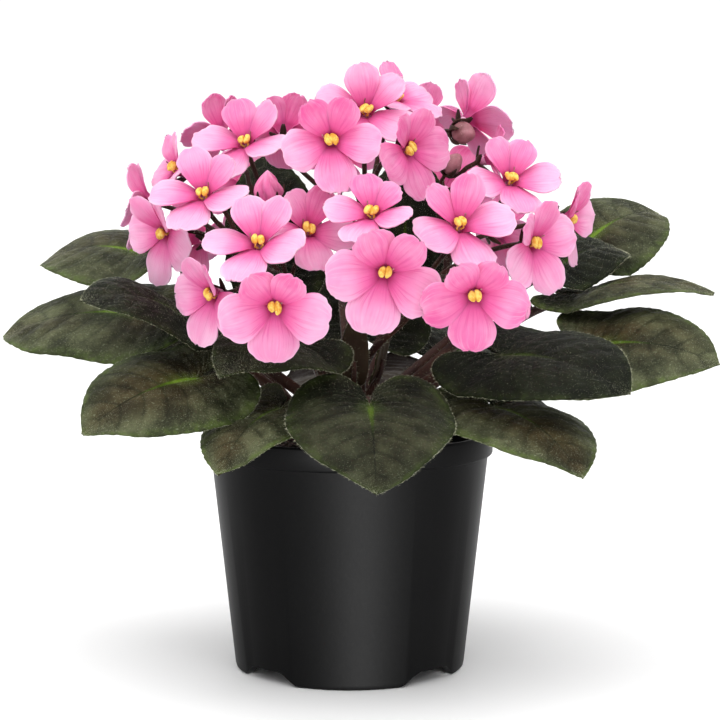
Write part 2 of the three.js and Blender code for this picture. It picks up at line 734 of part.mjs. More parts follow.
function makeBud({ at, faces, length, width }, from) {
  const out = gaze(faces);
  const profile = [
    [0, -length / 2],
    [width * 0.36, -length * 0.3],
    [width * 0.5, 0],
    [width * 0.3, length * 0.33],
    [0, length / 2],
  ];
  const bud = turned(profile, 6).applyQuaternion(lookAlong(faces, 0)).translate(...at);
  const path = sprigPath(place(at).addScaledVector(out, -length * 0.4), out, from);
  return [bud, stem(path, taper(STALK.tip, STALK.branch, path.length), 4)];
}

function makeSpray(name, spray) {
  const root = around(spray.azimuth, STALK.seatRadius, CROWN.top + GAP);
  const start = root.clone().addScaledVector(UP, STALK.straight);
  const fork = place(spray.fork);
  const rise = fork.z - start.z;
  const curve = new THREE.CubicBezierCurve3(
    start,
    start.clone().addScaledVector(UP, rise * 0.4),
    fork.clone().addScaledVector(UP, -rise * 0.3),
    fork,
  );
  const path = [root, ...curve.getPoints(3)];
  const from = (k) => curve.getPoint(0.98 - STALK.apart * k);
  const pieces = [
    stem(path, taper(STALK.root, STALK.fork, path.length), STALK.sides),
    ...spray.blooms.map((bloom, k) => makeSprig(bloom, from(k))),
    ...spray.buds.flatMap((bud, k) => makeBud(bud, from(spray.blooms.length + k))),
  ];
  return named(name, union(pieces), FINISH.stalk);
}

function makeBloom(name, bloom, index) {
  const mesh = named(name, makeCorolla(bloom.size, index), FINISH.petal);
  mesh.quaternion.copy(lookAlong(bloom.faces, bloom.turn));
  mesh.position.set(...bloom.at);
  return mesh;
}

// The whole plant

const plant = new THREE.Group();
plant.add(makeCrown());
Object.entries(LEAVES).forEach(([name, leaf], index) => plant.add(makeLeaf(name, leaf, index)));
let bloomCount = 0;
for (const [name, spray] of Object.entries(SPRAYS)) {
  plant.add(makeSpray(name, spray));
  for (const bloom of spray.blooms) {
    bloomCount += 1;
    plant.add(makeBloom(`bloom_${String(bloomCount).padStart(2, '0')}`, bloom, bloomCount));
  }
}

const potted = new THREE.Group();
potted.add(makePot(), makeSoil(), plant);

export default potted;
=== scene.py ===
import math

import bpy
import numpy as np
from mathutils import Matrix, Vector


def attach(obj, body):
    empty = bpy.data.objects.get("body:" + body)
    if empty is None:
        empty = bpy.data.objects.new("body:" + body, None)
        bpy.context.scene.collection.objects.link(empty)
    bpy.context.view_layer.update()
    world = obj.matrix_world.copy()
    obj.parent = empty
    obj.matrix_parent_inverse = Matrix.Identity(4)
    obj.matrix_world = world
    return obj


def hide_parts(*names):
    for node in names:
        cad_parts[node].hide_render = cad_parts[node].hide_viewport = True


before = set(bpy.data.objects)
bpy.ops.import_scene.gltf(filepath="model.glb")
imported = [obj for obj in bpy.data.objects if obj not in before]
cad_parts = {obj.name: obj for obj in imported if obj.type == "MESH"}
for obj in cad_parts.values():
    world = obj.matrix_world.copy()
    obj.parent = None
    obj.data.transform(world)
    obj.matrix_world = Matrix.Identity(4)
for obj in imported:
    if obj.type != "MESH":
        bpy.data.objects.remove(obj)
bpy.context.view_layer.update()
mm = 0.001

# Small helpers, with sizes in millimetres


def pick(pieces):
    bpy.ops.object.select_all(action="DESELECT")
    for piece in pieces:
        piece.select_set(True)
    bpy.context.view_layer.objects.active = pieces[0]


def editWhole(piece, change, **settings):  # one step in edit mode on all of a piece
    pick([piece])
    bpy.ops.object.mode_set(mode="EDIT")
    bpy.ops.mesh.select_all(action="SELECT")
    change(**settings)
    bpy.ops.object.mode_set(mode="OBJECT")


def mergeClose(piece, distance):
    editWhole(piece, bpy.ops.mesh.remove_doubles, threshold=distance * mm)


def faceOutwards(piece):
    editWhole(piece, bpy.ops.mesh.normals_make_consistent, inside=False)


def modify(piece, kind, **settings):
    step = piece.modifiers.new("step", kind)
    for key, value in settings.items():
        setattr(step, key, value)
    pick([piece])
    bpy.ops.object.modifier_apply(modifier="step")


def putInScene(name, data):
    thing = bpy.data.objects.new(name, data)
    bpy.context.scene.collection.objects.link(thing)
    return thing


def pieceFrom(name, points, faces):
    mesh = bpy.data.meshes.new(name)
    mesh.from_pydata((np.array(points) * mm).tolist(), [], faces)
    return putInScene(name, mesh)


def around(azimuth, radius, z):  # 0 degrees is the front, growing to the right
    turn = math.radians(azimuth)
    return np.array([radius * math.sin(turn), -radius * math.cos(turn), z])


def gaze(faces):
    azimuth, height = faces
    return around(azimuth, math.cos(math.radians(height)), math.sin(math.radians(height)))


def vary(a, b):  # the same draw from -1 to 1 for the same two numbers
    s = math.sin(a * 12.9898 + b * 78.233) * 43758.5453
    return 2 * (s - math.floor(s)) - 1


def unit(vector):
    return vector / np.linalg.norm(vector, axis=-1, keepdims=True)


def lookAlong(faces, turn):  # columns: right, up and out of a flower
    out = gaze(faces)
    right = unit(np.cross([0, 0, 1], out))
    up = np.cross(out, right)
    c, s = math.cos(-math.radians(turn)), math.sin(-math.radians(turn))
    return np.array([right, up, out]).T @ np.array([[c, -s, 0], [s, c, 0], [0, 0, 1]])


def bezier(points, t):
    a, b, c, d = np.array(points, float)
    t = np.asarray(t, float)[:, None]
    return a * (1 - t) ** 3 + 3 * b * t * (1 - t) ** 2 + 3 * c * t**2 * (1 - t) + d * t**3


def smoothStep(low, high, x):
    t = np.clip((x - low) / (high - low), 0, 1)
    return t * t * (3 - 2 * t)


def through(values, s):  # a smooth curve through the values at 0, 1, 2 ...
    values = np.asarray(values, float)
    i = np.clip(np.floor(s).astype(int), 0, len(values) - 2)
    t = s - i
    before = values[np.maximum(i - 1, 0)]
    after = values[np.minimum(i + 2, len(values) - 1)]
    a, b = values[i], values[i + 1]
    bend = 2 * before - 5 * a + 4 * b - after
    return a + 0.5 * t * (b - before + t * (bend + t * (3 * (a - b) + after - before)))


def ripple(x, y, seed):  # slow irregular waves, about -1 to 1
    total = 0
    for k in range(5):
        p, q, r = vary(seed, k) * 3, vary(seed, k + 9) * 3, vary(seed, k + 18) * 3
        total = total + np.sin((1 + 0.6 * k) * (x * (1 + 0.4 * p) + y * q) + r * 2) / 3
    return total


def pointsOf(piece):  # in metres
    flat = np.empty(3 * len(piece.data.vertices))
    piece.data.vertices.foreach_get("co", flat)
    return flat.reshape(-1, 3)


def sheetFrom(name, across, along, spots):  # a grid whose points go to spots(w, v), w -1..1 and v 0..1
    bpy.ops.mesh.primitive_grid_add(x_subdivisions=across, y_subdivisions=along, size=2)
    piece = bpy.context.object
    piece.name = name
    flat = pointsOf(piece)
    placed = spots(flat[:, 0], (flat[:, 1] + 1) / 2)
    piece.data.vertices.foreach_set("co", (placed * mm).ravel())
    piece.data.update()
    return piece


def giveWall(piece, thickness, **more):  # the sheet becomes a closed blade
    modify(piece, "SOLIDIFY", thickness=thickness * mm, offset=-1, **more)


def giveToneAndShade(piece, toneAndShade):  # a value for the materials: the piece's own tone, with painted shade for pieces lying in shadow
    layer = piece.data.attributes.new("toneAndShade", "FLOAT", "POINT")
    layer.data.foreach_set("value", np.full(len(piece.data.vertices), float(toneAndShade)))


def dress(piece, materials):
    for material in materials:
        piece.data.materials.append(material)


def joined(name, pieces):
    pick(pieces)
    bpy.ops.object.join()
    piece = bpy.context.object
    piece.name = name
    piece.data.name = name
    return piece


def smoothed(piece, degrees=None):
    pick([piece])
    if degrees is None:
        bpy.ops.object.shade_smooth()
    else:
        bpy.ops.object.shade_smooth_by_angle(angle=math.radians(degrees))


def settle(piece, turn=np.eye(3), at=(0, 0, 0)):  # the mesh is moved, and the object stays at the origin
    move = Matrix.Translation(np.asarray(at) * mm) @ Matrix(turn.tolist()).to_4x4()
    piece.data.transform(move @ piece.matrix_basis)
    piece.matrix_basis = Matrix.Identity(4)


def tubeAlong(name, path, radii, material, roundness=2):
    curve = bpy.data.curves.new(name, "CURVE")
    curve.dimensions = "3D"
    curve.bevel_depth = mm
    curve.bevel_resolution = roundness
    curve.use_fill_caps = True
    spline = curve.splines.new("POLY")
    spline.points.add(len(path) - 1)
    for point, spot, radius in zip(spline.points, path, radii):
        point.co = (*(spot * mm), 1)
        point.radius = radius
    pick([putInScene(name, curve)])
    bpy.ops.object.convert(target="MESH")
    tube = bpy.context.object
    dress(tube, [material])
    smoothed(tube)
    return tube


def fuzz(name, roots, ways, lengths, width, draw):  # hairs, one thin triangle each
    count = len(roots)
    ways = unit(ways + coat["spread"] * draw.normal(size=(count, 3)))
    side = unit(np.cross(ways, draw.normal(size=(count, 3)))) * width / 2
    tips = roots + ways * lengths[:, None]
    spots = np.stack([roots - side, roots + side, tips], axis=1).reshape(-1, 3)
    piece = pieceFrom(name, spots, np.arange(3 * count).reshape(-1, 3).tolist())
    dress(piece, [hairMaterial])
    return piece


def hairyStalk(name, path, radii, hairs, draw, roundness=2, bare=0):  # the first points can be bare
    stalk = tubeAlong(name, path, radii, stalkSkin, roundness)
    density, length = hairs
    path, radii = path[bare:], radii[bare:]
    parts = np.diff(path, axis=0)
    steps = np.linalg.norm(parts, axis=1)
    count = max(3, int(steps.sum() * density))
    place = np.sort(draw.uniform(0, steps.sum(), count))
    ends = np.concatenate([[0], np.cumsum(steps)])
    spots = np.array([np.interp(place, ends, path[:, k]) for k in range(3)]).T
    thick = np.interp(place, ends, radii)
    i = np.clip(np.searchsorted(ends, place) - 1, 0, len(steps) - 1)
    ways = unit(np.cross(unit(parts[i]), draw.normal(size=(count, 3))))
    lengths = length * draw.uniform(0.6, 1.3, count)
    return [stalk, fuzz(name, spots + ways * thick[:, None] * 0.97, ways, lengths, coat["stalkWidth"], draw)]


# Materials


def addNode(tree, kind, settings=None, **inputs):
    node = tree.nodes.new("ShaderNode" + kind)
    for key, value in (settings or {}).items():
        setattr(node, key, value)
    for key, value in inputs.items():
        socket = node.inputs[int(key[1:])] if key[1:].isdigit() else node.inputs[key.replace("_", " ")]
        if isinstance(value, bpy.types.NodeSocket):
            tree.links.new(value, socket)
        else:
            socket.default_value = value
    return node


def maths(tree, operation, a, b=0.0, c=0.0, clamp=False):
    node = addNode(tree, "Math", {"operation": operation, "use_clamp": clamp}, i0=a, i1=b, i2=c)
    return node.outputs[0]


def times(tree, a, b):
    return maths(tree, "MULTIPLY", a, b)


def fade(tree, value, low, high, toLow=0.0, toHigh=1.0):
    kind = {"interpolation_type": "SMOOTHSTEP"}
    node = addNode(tree, "MapRange", kind, i0=value, i1=low, i2=high, i3=toLow, i4=toHigh)
    return node.outputs[0]


def blendColour(tree, factor, *colours):
    a, b = [c if isinstance(c, bpy.types.NodeSocket) else (*c, 1) for c in colours]
    return addNode(tree, "Mix", {"data_type": "RGBA"}, i0=factor, i6=a, i7=b).outputs[2]


def layered(tree, colour, look, layers):  # each layer is how much of it shows and its colour's name
    for share, name in layers:
        colour = blendColour(tree, share, colour, look[name])
    return colour


def makeMottle():  # cloudy patches and fine speckle on the object's own coordinates
    group = bpy.data.node_groups.new("mottle", "ShaderNodeTree")
    for way, names in (("INPUT", ("Cloud Scale", "Speck Scale")), ("OUTPUT", ("Cloud", "Specks", "Grain"))):
        for name in names:
            group.interface.new_socket(name=name, in_out=way, socket_type="NodeSocketFloat")
    given = group.nodes.new("NodeGroupInput").outputs
    made = group.nodes.new("NodeGroupOutput").inputs
    spots = addNode(group, "TexCoord").outputs["Object"]
    cloud = addNode(group, "TexNoise", Vector=spots, Scale=given["Cloud Scale"], Detail=3.0).outputs[0]
    speck = addNode(group, "TexNoise", Vector=spots, Scale=given["Speck Scale"], Detail=2.0).outputs[0]
    values = (fade(group, cloud, 0.35, 0.65), fade(group, speck, 0.62, 0.72), speck)
    for value, socket in zip(values, made):
        group.links.new(value, socket)
    return group


mottle = makeMottle()


def mottled(tree, cloud, speck):
    return addNode(tree, "Group", {"node_tree": mottle}, Cloud_Scale=cloud, Speck_Scale=speck).outputs


def startMaterial(name, **fixed):
    material = bpy.data.materials.new(name)
    material.use_nodes = True
    tree = material.node_tree
    shader = tree.nodes["Principled BSDF"]
    for key, value in fixed.items():
        shader.inputs[key.replace("_", " ")].default_value = value
    return material, tree, shader


def sheetCoordinates(tree):  # from side to side, from 0 at the midrib to 1 at the edge, and along from 0 to 1
    split = addNode(tree, "SeparateXYZ", Vector=addNode(tree, "UVMap").outputs[0])
    across = maths(tree, "ABSOLUTE", maths(tree, "MULTIPLY_ADD", split.outputs[0], 2.0, -1.0))
    return split.outputs[0], across, split.outputs[1]


def toneAndShadeOf(tree):
    return addNode(tree, "Attribute", {"attribute_name": "toneAndShade"}).outputs["Fac"]


def wire(tree, shader, colour, roughness, height, strength, distance=0.0004):
    bump = addNode(tree, "Bump", Height=height, Strength=strength, Distance=distance).outputs[0]
    for name, value in (("Base Color", colour), ("Roughness", roughness), ("Normal", bump)):
        tree.links.new(value, shader.inputs[name])


sideVeins = {"count": 8.0, "lean": 0.45}  # for the colour and for the quilting

leafLook = {
    "dark": (0.007, 0.009, 0.004),
    "light": (0.060, 0.066, 0.034),
    "brown": (0.030, 0.019, 0.008),
    "margin": (0.050, 0.072, 0.018),
    "rib": (0.085, 0.150, 0.012),
    "ribFar": (0.006, 0.008, 0.003),
    "shadeDark": (0.012, 0.018, 0.007),
    "hair": (0.20, 0.23, 0.16),
}


def makeLeafMaterial():
    look = leafLook
    material, tree, shader = startMaterial(
        "leafUpper", Sheen_Weight=0.012, Sheen_Roughness=0.4, Sheen_Tint=(0.85, 0.9, 0.8, 1),
        Specular_IOR_Level=0.07,
    )
    _, across, along = sheetCoordinates(tree)
    toneAndShade = toneAndShadeOf(tree)
    patches = mottled(tree, 70.0, 1500.0)
    wide = mottled(tree, 24.0, 420.0)
    broken = mottled(tree, 110.0, 700.0)
    fine = fade(tree, patches["Grain"], 0.3, 0.7, -0.18, 0.22)
    # painted shade: darker towards the blade's base, where it lies under the flowers, over random cloudy
    # patches
    mottleAndShade = maths(tree, "MULTIPLY_ADD", patches["Cloud"], 0.5, fade(tree, along, 0.1, 0.8, 0.0, 0.45))
    colour = blendColour(tree, maths(tree, "ADD", mottleAndShade, fine, clamp=True), look["dark"], look["light"])
    brown = times(tree, wide["Cloud"], fade(tree, across, 0.95, 0.2, 0.0, 0.75))
    edge = maths(tree, "MAXIMUM", fade(tree, across, 0.8, 0.99), fade(tree, along, 0.93, 1.0))
    edge = times(tree, edge, fade(tree, wide["Grain"], 0.35, 0.65, 0.2, 0.85))
    lean = times(tree, across, sideVeins["lean"])
    vein = maths(tree, "DIVIDE", maths(tree, "SUBTRACT", along, lean), maths(tree, "SUBTRACT", 1.0, lean))
    row = maths(tree, "PINGPONG", times(tree, vein, sideVeins["count"]), 0.5)
    # dark lines along the side veins: partly their own colour, partly painted shade in the sunken veins
    side = times(tree, fade(tree, row, 0.14, 0.0), fade(tree, across, 1.0, 0.25))
    colour = layered(tree, colour, look, (
        (times(tree, brown, toneAndShade), "brown"),
        # painted shade: a dark colour mixed into leaves of low tone, which lie in shadow
        (fade(tree, toneAndShade, 0.5, 0.0, 0.0, 0.7), "shadeDark"),
        (edge, "margin"),
        (times(tree, side, 0.42), "ribFar"),
    ))
    reach = fade(tree, along, 0.0, 0.75, 0.095, 0.016)
    rib = fade(tree, maths(tree, "DIVIDE", across, reach), 1.0, 0.35)
    # the midrib is yellow-green near the base and almost black further along, a painted shade in its groove
    ribColour = blendColour(tree, fade(tree, along, 0.35, 0.7), look["rib"], look["ribFar"])
    colour = blendColour(tree, times(tree, rib, 0.9), colour, ribColour)
    glow = times(tree, fade(tree, across, 0.3, 0.0), fade(tree, along, 0.6, 0.15, 0.0, 0.4))
    specks = times(tree, patches["Specks"], 0.3)
    colour = layered(tree, colour, look, ((glow, "rib"), (specks, "hair")))
    # painted shade: lighter on the quilted ridges between the side veins and darker at the veins, mixed with
    # random blotches; leaves of low tone are darkened all over, a painted shade for leaves lying in shadow
    ridgeShadeAndBlotches = maths(tree, "MULTIPLY_ADD", row, 0.3, times(tree, broken["Cloud"], 0.6))
    quiltShade = fade(tree, ridgeShadeAndBlotches, 0.0, 0.72, 0.64, 1.36)
    shade = times(tree, fade(tree, toneAndShade, 0.0, 1.0, 0.32, 1.35), quiltShade)
    colour = addNode(tree, "VectorMath", {"operation": "SCALE"}, i0=colour, i3=shade).outputs[0]
    cells = addNode(
        tree, "TexVoronoi", {"feature": "SMOOTH_F1"},
        Vector=addNode(tree, "TexCoord").outputs["Object"], Scale=420.0, Smoothness=0.6,
    ).outputs["Distance"]
    height = maths(tree, "MULTIPLY_ADD", cells, -1.0, times(tree, patches["Grain"], 0.5))
    wire(tree, shader, colour, fade(tree, patches["Grain"], 0.3, 0.7, 0.42, 0.62), height, 0.7, 0.0006)
    return material


def makePlainMaterial(name, low, high, cloud, speck, specks, rough, strength=0.35, **fixed):
    material, tree, shader = startMaterial(name, **fixed)
    patches = mottled(tree, cloud, speck)
    colour = blendColour(tree, patches["Cloud"], low, high)
    colour = blendColour(tree, times(tree, patches["Specks"], 0.5), colour, specks)
    wire(tree, shader, colour, fade(tree, patches["Grain"], 0.3, 0.7, *rough), patches["Grain"], strength)
    return material


petalLook = {
    "pale": (0.90, 0.42, 0.62),
    "silver": (0.93, 0.60, 0.76),
    "mid": (0.84, 0.22, 0.46),
    "deep": (0.72, 0.07, 0.29),
    "throat": (0.42, 0.025, 0.15),
    "vein": (0.60, 0.06, 0.26),
}


def makePetalMaterial(name, deeper):
    look = petalLook
    material, tree, shader = startMaterial(
        name, Subsurface_Weight=0.35, Subsurface_Radius=(1.0, 0.45, 0.7), Subsurface_Scale=0.0016,
        Sheen_Weight=0.06, Specular_IOR_Level=0.3,
    )
    u, across, along = sheetCoordinates(tree)
    toneAndShade = maths(tree, "ADD", toneAndShadeOf(tree), deeper, clamp=True)
    patches = mottled(tree, 110.0, 2600.0)
    wide = mottled(tree, 75.0, 500.0)
    streaks = addNode(tree, "CombineXYZ", i0=times(tree, u, 17.0), i1=along, i2=toneAndShade)
    lines = addNode(tree, "TexNoise", Vector=streaks.outputs[0], Scale=1.7, Detail=2.5)
    # painted satin sheen: pale silvery streaks in the outer half of each petal
    outer = fade(tree, along, 0.2, 0.8, 0.0, 0.28)
    pale = times(tree, fade(tree, lines.outputs[0], 0.5, 0.32), outer)
    rim = maths(tree, "MAXIMUM", fade(tree, across, 0.7, 1.0), fade(tree, along, 0.8, 1.0))
    rim = times(tree, rim, fade(tree, toneAndShade, 1.0, 0.3, 0.1, 0.5))
    veins = times(tree, fade(tree, lines.outputs[0], 0.53, 0.62), fade(tree, along, 0.75, 0.15))
    # tone is partly the bloom's own colour and partly painted shade: blooms and petals lying in shadow get a
    # higher tone and come out deeper
    colour = blendColour(tree, toneAndShade, look["pale"], look["mid"])
    colour = layered(tree, colour, look, (
        (fade(tree, toneAndShade, 0.45, 1.15), "deep"),
        (times(tree, wide["Cloud"], 0.4), "mid"),
        (times(tree, patches["Cloud"], 0.3), "silver"),
        (pale, "silver"),
        (rim, "silver"),
        (fade(tree, along, 0.75, 0.2, 0.0, 0.65), "mid"),
        (times(tree, veins, 0.55), "vein"),
        (fade(tree, along, 0.5, 0.12, 0.0, 0.85), "deep"),
        (fade(tree, along, 0.22, 0.05, 0.0, 0.85), "throat"),
    ))
    grain = times(tree, patches["Grain"], 0.35)
    height = maths(tree, "MULTIPLY_ADD", lines.outputs[0], 1.2, grain)
    wire(tree, shader, colour, fade(tree, patches["Grain"], 0.3, 0.7, 0.5, 0.65), height, 0.3, 0.0003)
    return material


print("materials")
leafUpper = makeLeafMaterial()
leafUnder = makePlainMaterial(
    "leafUnder", (0.021, 0.011, 0.008), (0.038, 0.026, 0.014), 50.0, 900.0, (0.09, 0.08, 0.05),
    (0.5, 0.7), 0.5, Specular_IOR_Level=0.08,
)
stalkSkin = makePlainMaterial(
    "stalkSkin", (0.022, 0.008, 0.006), (0.050, 0.020, 0.012), 90.0, 1200.0, (0.13, 0.08, 0.05), (0.4, 0.6),
    Specular_IOR_Level=0.2,
)
budSkin = makePlainMaterial(
    "budSkin", (0.22, 0.07, 0.08), (0.42, 0.17, 0.20), 160.0, 1800.0, (0.50, 0.33, 0.33), (0.45, 0.65)
)
hairMaterial = makePlainMaterial(
    "plantHair", (0.42, 0.43, 0.28), (0.58, 0.59, 0.42), 300.0, 900.0, (0.7, 0.7, 0.55), (0.4, 0.6), 0.1
)
petalFront = makePetalMaterial("petalFront", 0.0)
petalBack = makePetalMaterial("petalBack", -0.1)
antherSkin = makePlainMaterial(
    "antherSkin", (0.80, 0.38, 0.03), (1.0, 0.74, 0.16), 620.0, 2600.0, (1.0, 0.92, 0.55), (0.5, 0.8), 0.8
)
soilSkin = makePlainMaterial(
    "soilSkin", (0.010, 0.006, 0.004), (0.045, 0.028, 0.018), 160.0, 900.0, (0.11, 0.075, 0.05),
    (0.8, 1.0), 1.0,
)
potSkin = makePlainMaterial(
    "potSkin", (0.003, 0.003, 0.0032), (0.0042, 0.0042, 0.0044), 22.0, 2200.0, (0.008, 0.008, 0.0085),
    (0.36, 0.39), 0.02, Specular_IOR_Level=0.03,
)


# Pot, soil and crown

pot = {
    "height": 87, "rimRadius": 52.4, "shoulderRadius": 50.7, "bandHeight": 8, "baseRadius": 42.2, "wall": 1.3,
    "floorHeight": 5, "footInset": 1.2, "footRise": 1.8, "footWidth": 2.6, "notchAzimuth": 45,
    "notchWidth": 29.4, "notchTopWidth": 10.2, "notchHeight": 4.9, "drainRadius": 4, "drainPlace": 31,
    "footSplay": (0.9, 0.6), "bandEdge": 0.3, "lip": 2, "lipTop": (0.7, 1.5), "lipRound": 0.7,
    "edgeRound": 0.35, "facets": 144,
}


def makePot():
    p = pot
    top, rim, base, wall = p["height"], p["rimRadius"], p["baseRadius"], p["wall"]
    shoulder = top - p["bandHeight"]
    floorTop = p["floorHeight"] + wall
    footOutside = base - p["footInset"]
    footInside = footOutside - p["footWidth"]
    profile = [
        (footInside, p["floorHeight"]),
        (footInside, 0),
        (footOutside, 0),
        (footOutside + p["footSplay"][0], p["footSplay"][1]),
        (base, p["footRise"]),
        (p["shoulderRadius"], shoulder - 0.5),
        (rim - p["bandEdge"], shoulder),
        (rim, shoulder + 0.5),
        (rim, top - p["lipRound"]),
        (rim - p["lipTop"][0], top),
        (rim - p["lipTop"][1], top),
        (rim - p["lip"], top - 0.5),
        (p["shoulderRadius"] - wall, shoulder),
        (base - wall + 0.2, floorTop + 1.2),
        (base - wall - 1.4, floorTop),
        (4, floorTop),
    ]
    radius, z = profile[0]
    bpy.ops.mesh.primitive_circle_add(vertices=p["facets"], radius=radius * mm, location=(0, 0, z * mm))
    body = bpy.context.object
    bpy.ops.object.mode_set(mode="EDIT")
    bpy.ops.mesh.select_all(action="SELECT")
    for (r0, z0), (r1, z1) in zip(profile, profile[1:]):
        bpy.ops.mesh.extrude_edges_move(TRANSFORM_OT_translate={"value": (0, 0, (z1 - z0) * mm)})
        bpy.ops.transform.resize(value=(r1 / r0, r1 / r0, 1), center_override=(0, 0, z1 * mm))
    bpy.ops.mesh.edge_face_add()  # the floor inside
    bpy.ops.mesh.select_all(action="DESELECT")
    bpy.ops.mesh.select_non_manifold()
    bpy.ops.mesh.edge_face_add()  # and under it
    bpy.ops.object.mode_set(mode="OBJECT")
    faceOutwards(body)
    cutters = []
    steps = np.linspace(0, 1, 13)
    rise = p["notchHeight"] * smoothStep(0.05, 0.95, steps)
    reach = (p["notchWidth"] + (p["notchTopWidth"] - p["notchWidth"]) * (steps * 0.75 + 0.25 * steps**2)) / 2
    outline = [(-reach[0] - 1, -2)] + [(-x, z) for x, z in zip(reach, rise)]
    outline += [(x, z) for x, z in zip(reach[::-1], rise[::-1])] + [(reach[0] + 1, -2)]
    count = len(outline)
    for k in range(4):
        azimuth = p["notchAzimuth"] + 90 * k
        turn = Matrix.Rotation(math.radians(azimuth), 3, "Z")
        near = [turn @ Vector((x, -(base + 4), z)) for x, z in outline]
        far = [turn @ Vector((x, -(footInside - 3), z)) for x, z in outline]
        faces = [list(range(count)), list(range(2 * count - 1, count - 1, -1))]
        faces += [[i, i + count, (i + 1) % count + count, (i + 1) % count] for i in range(count)]
        cutters.append(pieceFrom("notchCutter", near + far, faces))
        middle = around(azimuth, p["drainPlace"], p["floorHeight"])
        bpy.ops.mesh.primitive_cylinder_add(
            vertices=32, radius=p["drainRadius"] * mm, depth=12 * mm, location=tuple(middle * mm)
        )
        cutters.append(bpy.context.object)
    for cutter in cutters:
        faceOutwards(cutter)
        modify(body, "BOOLEAN", object=cutter, operation="DIFFERENCE", solver="EXACT")
        bpy.data.objects.remove(cutter)
    soft = {"width": p["edgeRound"] * mm, "segments": 2, "limit_method": "ANGLE"}
    modify(body, "BEVEL", **soft, angle_limit=math.radians(40))
    smoothed(body, 35)
    settle(body)
    dress(body, [potSkin])
    return body


soil = {
    "top": 77.5, "edge": 48.6, "mound": 1.6, "lump": 0.9, "bottom": 6.6, "bottomRadius": 37.5,
    "bottomEdge": (40.2, 3), "hole": 8.6, "holeBottom": 63.7,
    "crumbs": 900, "crumbSize": (0.5, 1.6), "crumbRise": (-0.3, 0.7), "seed": 11,
}


def makeSoil():
    p = soil
    edge = p["edge"]
    profile = [(0, p["holeBottom"]), (p["hole"], p["holeBottom"]), (p["hole"], p["top"] + 1)]
    profile += [(r, p["top"]) for r in np.linspace(p["hole"] + 1.5, edge, 22)]
    radius, rise = p["bottomEdge"]
    profile += [(edge - 0.4, p["top"] - 1.5), (radius, p["bottom"] + rise)]
    profile = np.array(profile + [(p["bottomRadius"], p["bottom"]), (0, p["bottom"])], float)

    def spots(w, v):
        turn = math.pi * w
        s = v * (len(profile) - 1)
        r = np.interp(s, np.arange(len(profile)), profile[:, 0])
        z = np.interp(s, np.arange(len(profile)), profile[:, 1])
        onTop = (z > p["top"] - 0.5) & (r > p["hole"] + 1) & (r < edge - 0.2)
        x, y = r * np.sin(turn), -r * np.cos(turn)
        lumps = p["lump"] * (0.6 * ripple(x * 0.45, y * 0.45, 3) + 0.4 * ripple(x * 1.3, y * 1.3, 8))
        z = z + onTop * (p["mound"] * (1 - (r / edge) ** 2) + lumps)
        return np.stack([x, y, z], axis=1)

    body = sheetFrom("soilBody", 120, len(profile) - 1, spots)
    mergeClose(body, 0.01)
    faceOutwards(body)
    bpy.ops.mesh.primitive_ico_sphere_add(subdivisions=1, radius=1)
    crumb = bpy.context.object
    shape = np.array([v.co[:] for v in crumb.data.vertices])
    faces = np.array([f.vertices[:] for f in crumb.data.polygons])
    bpy.data.objects.remove(crumb)
    draw = np.random.default_rng(p["seed"])
    count = p["crumbs"]
    r = np.sqrt(draw.uniform((p["hole"] + 2) ** 2, (edge - 1.5) ** 2, count))
    turn = draw.uniform(0, 2 * math.pi, count)
    z = p["top"] + p["mound"] * (1 - (r / edge) ** 2) + draw.uniform(*p["crumbRise"], count)
    middle = np.stack([r * np.cos(turn), r * np.sin(turn), z], axis=1)
    size = draw.uniform(*p["crumbSize"], (count, 1, 1)) * draw.uniform(0.6, 1.2, (count, 1, 3))
    rough = shape[None] * size * draw.uniform(0.8, 1.2, (count, len(shape), 1))
    points = (middle[:, None] + rough).reshape(-1, 3)
    allFaces = (faces[None] + len(shape) * np.arange(count)[:, None, None]).reshape(-1, 3)
    crumbs = pieceFrom("crumbs", points, allFaces.tolist())
    dress(body, [soilSkin])
    dress(crumbs, [soilSkin])
    smoothed(body, 50)
    return joined("soilTop", [body, crumbs])


crown = {"radius": 8, "bottom": 64, "top": 101}
# young leaves on top of the crown: azimuths, then radius and height of stalk root, joint and tip
young = {
    "azimuths": (-62, 8, 70), "root": (6.4, 98), "joint": (11, 111), "tip": (19, 131), "width": 10.5,
    "stalk": 1.0, "columns": 20, "rows": 28, "hairs": 500, "fringe": 260, "toneAndShade": 0.3, "seed": 80,
}


def makeCrown():  # with its young leaves
    p = crown
    length = p["top"] - p["bottom"]
    bpy.ops.mesh.primitive_cylinder_add(
        vertices=48, radius=(p["radius"] - 0.3) * mm, depth=length * mm,
        location=(0, 0, (p["bottom"] + p["top"]) / 2 * mm),
    )
    stem = bpy.context.object
    settle(stem)
    for height in (70, *np.arange(66, 100.5, 1.5)):
        editWhole(stem, bpy.ops.mesh.bisect, plane_co=(0, 0, height * mm), plane_no=(0, 0, 1))
    for vertex in stem.data.vertices:
        x, y, z = vertex.co / mm
        turn = math.atan2(y, x)
        scar = 0.25 * math.sin(3 * turn + z * 0.9) + 0.2 * math.sin(z * 1.9 + 2 * math.sin(turn * 2))
        close = 1 - 0.45 * float(smoothStep(p["top"] - 3, p["top"], z))
        grow = close * (1 + min(scar, 0.3) / p["radius"])
        vertex.co.x *= grow
        vertex.co.y *= grow
    smoothed(stem, 60)
    dress(stem, [stalkSkin])
    pieces = [stem]
    for index, azimuth in enumerate(young["azimuths"]):
        pieces += makeYoung(azimuth, index)
    return joined("crown_grown", pieces)


# Leaves

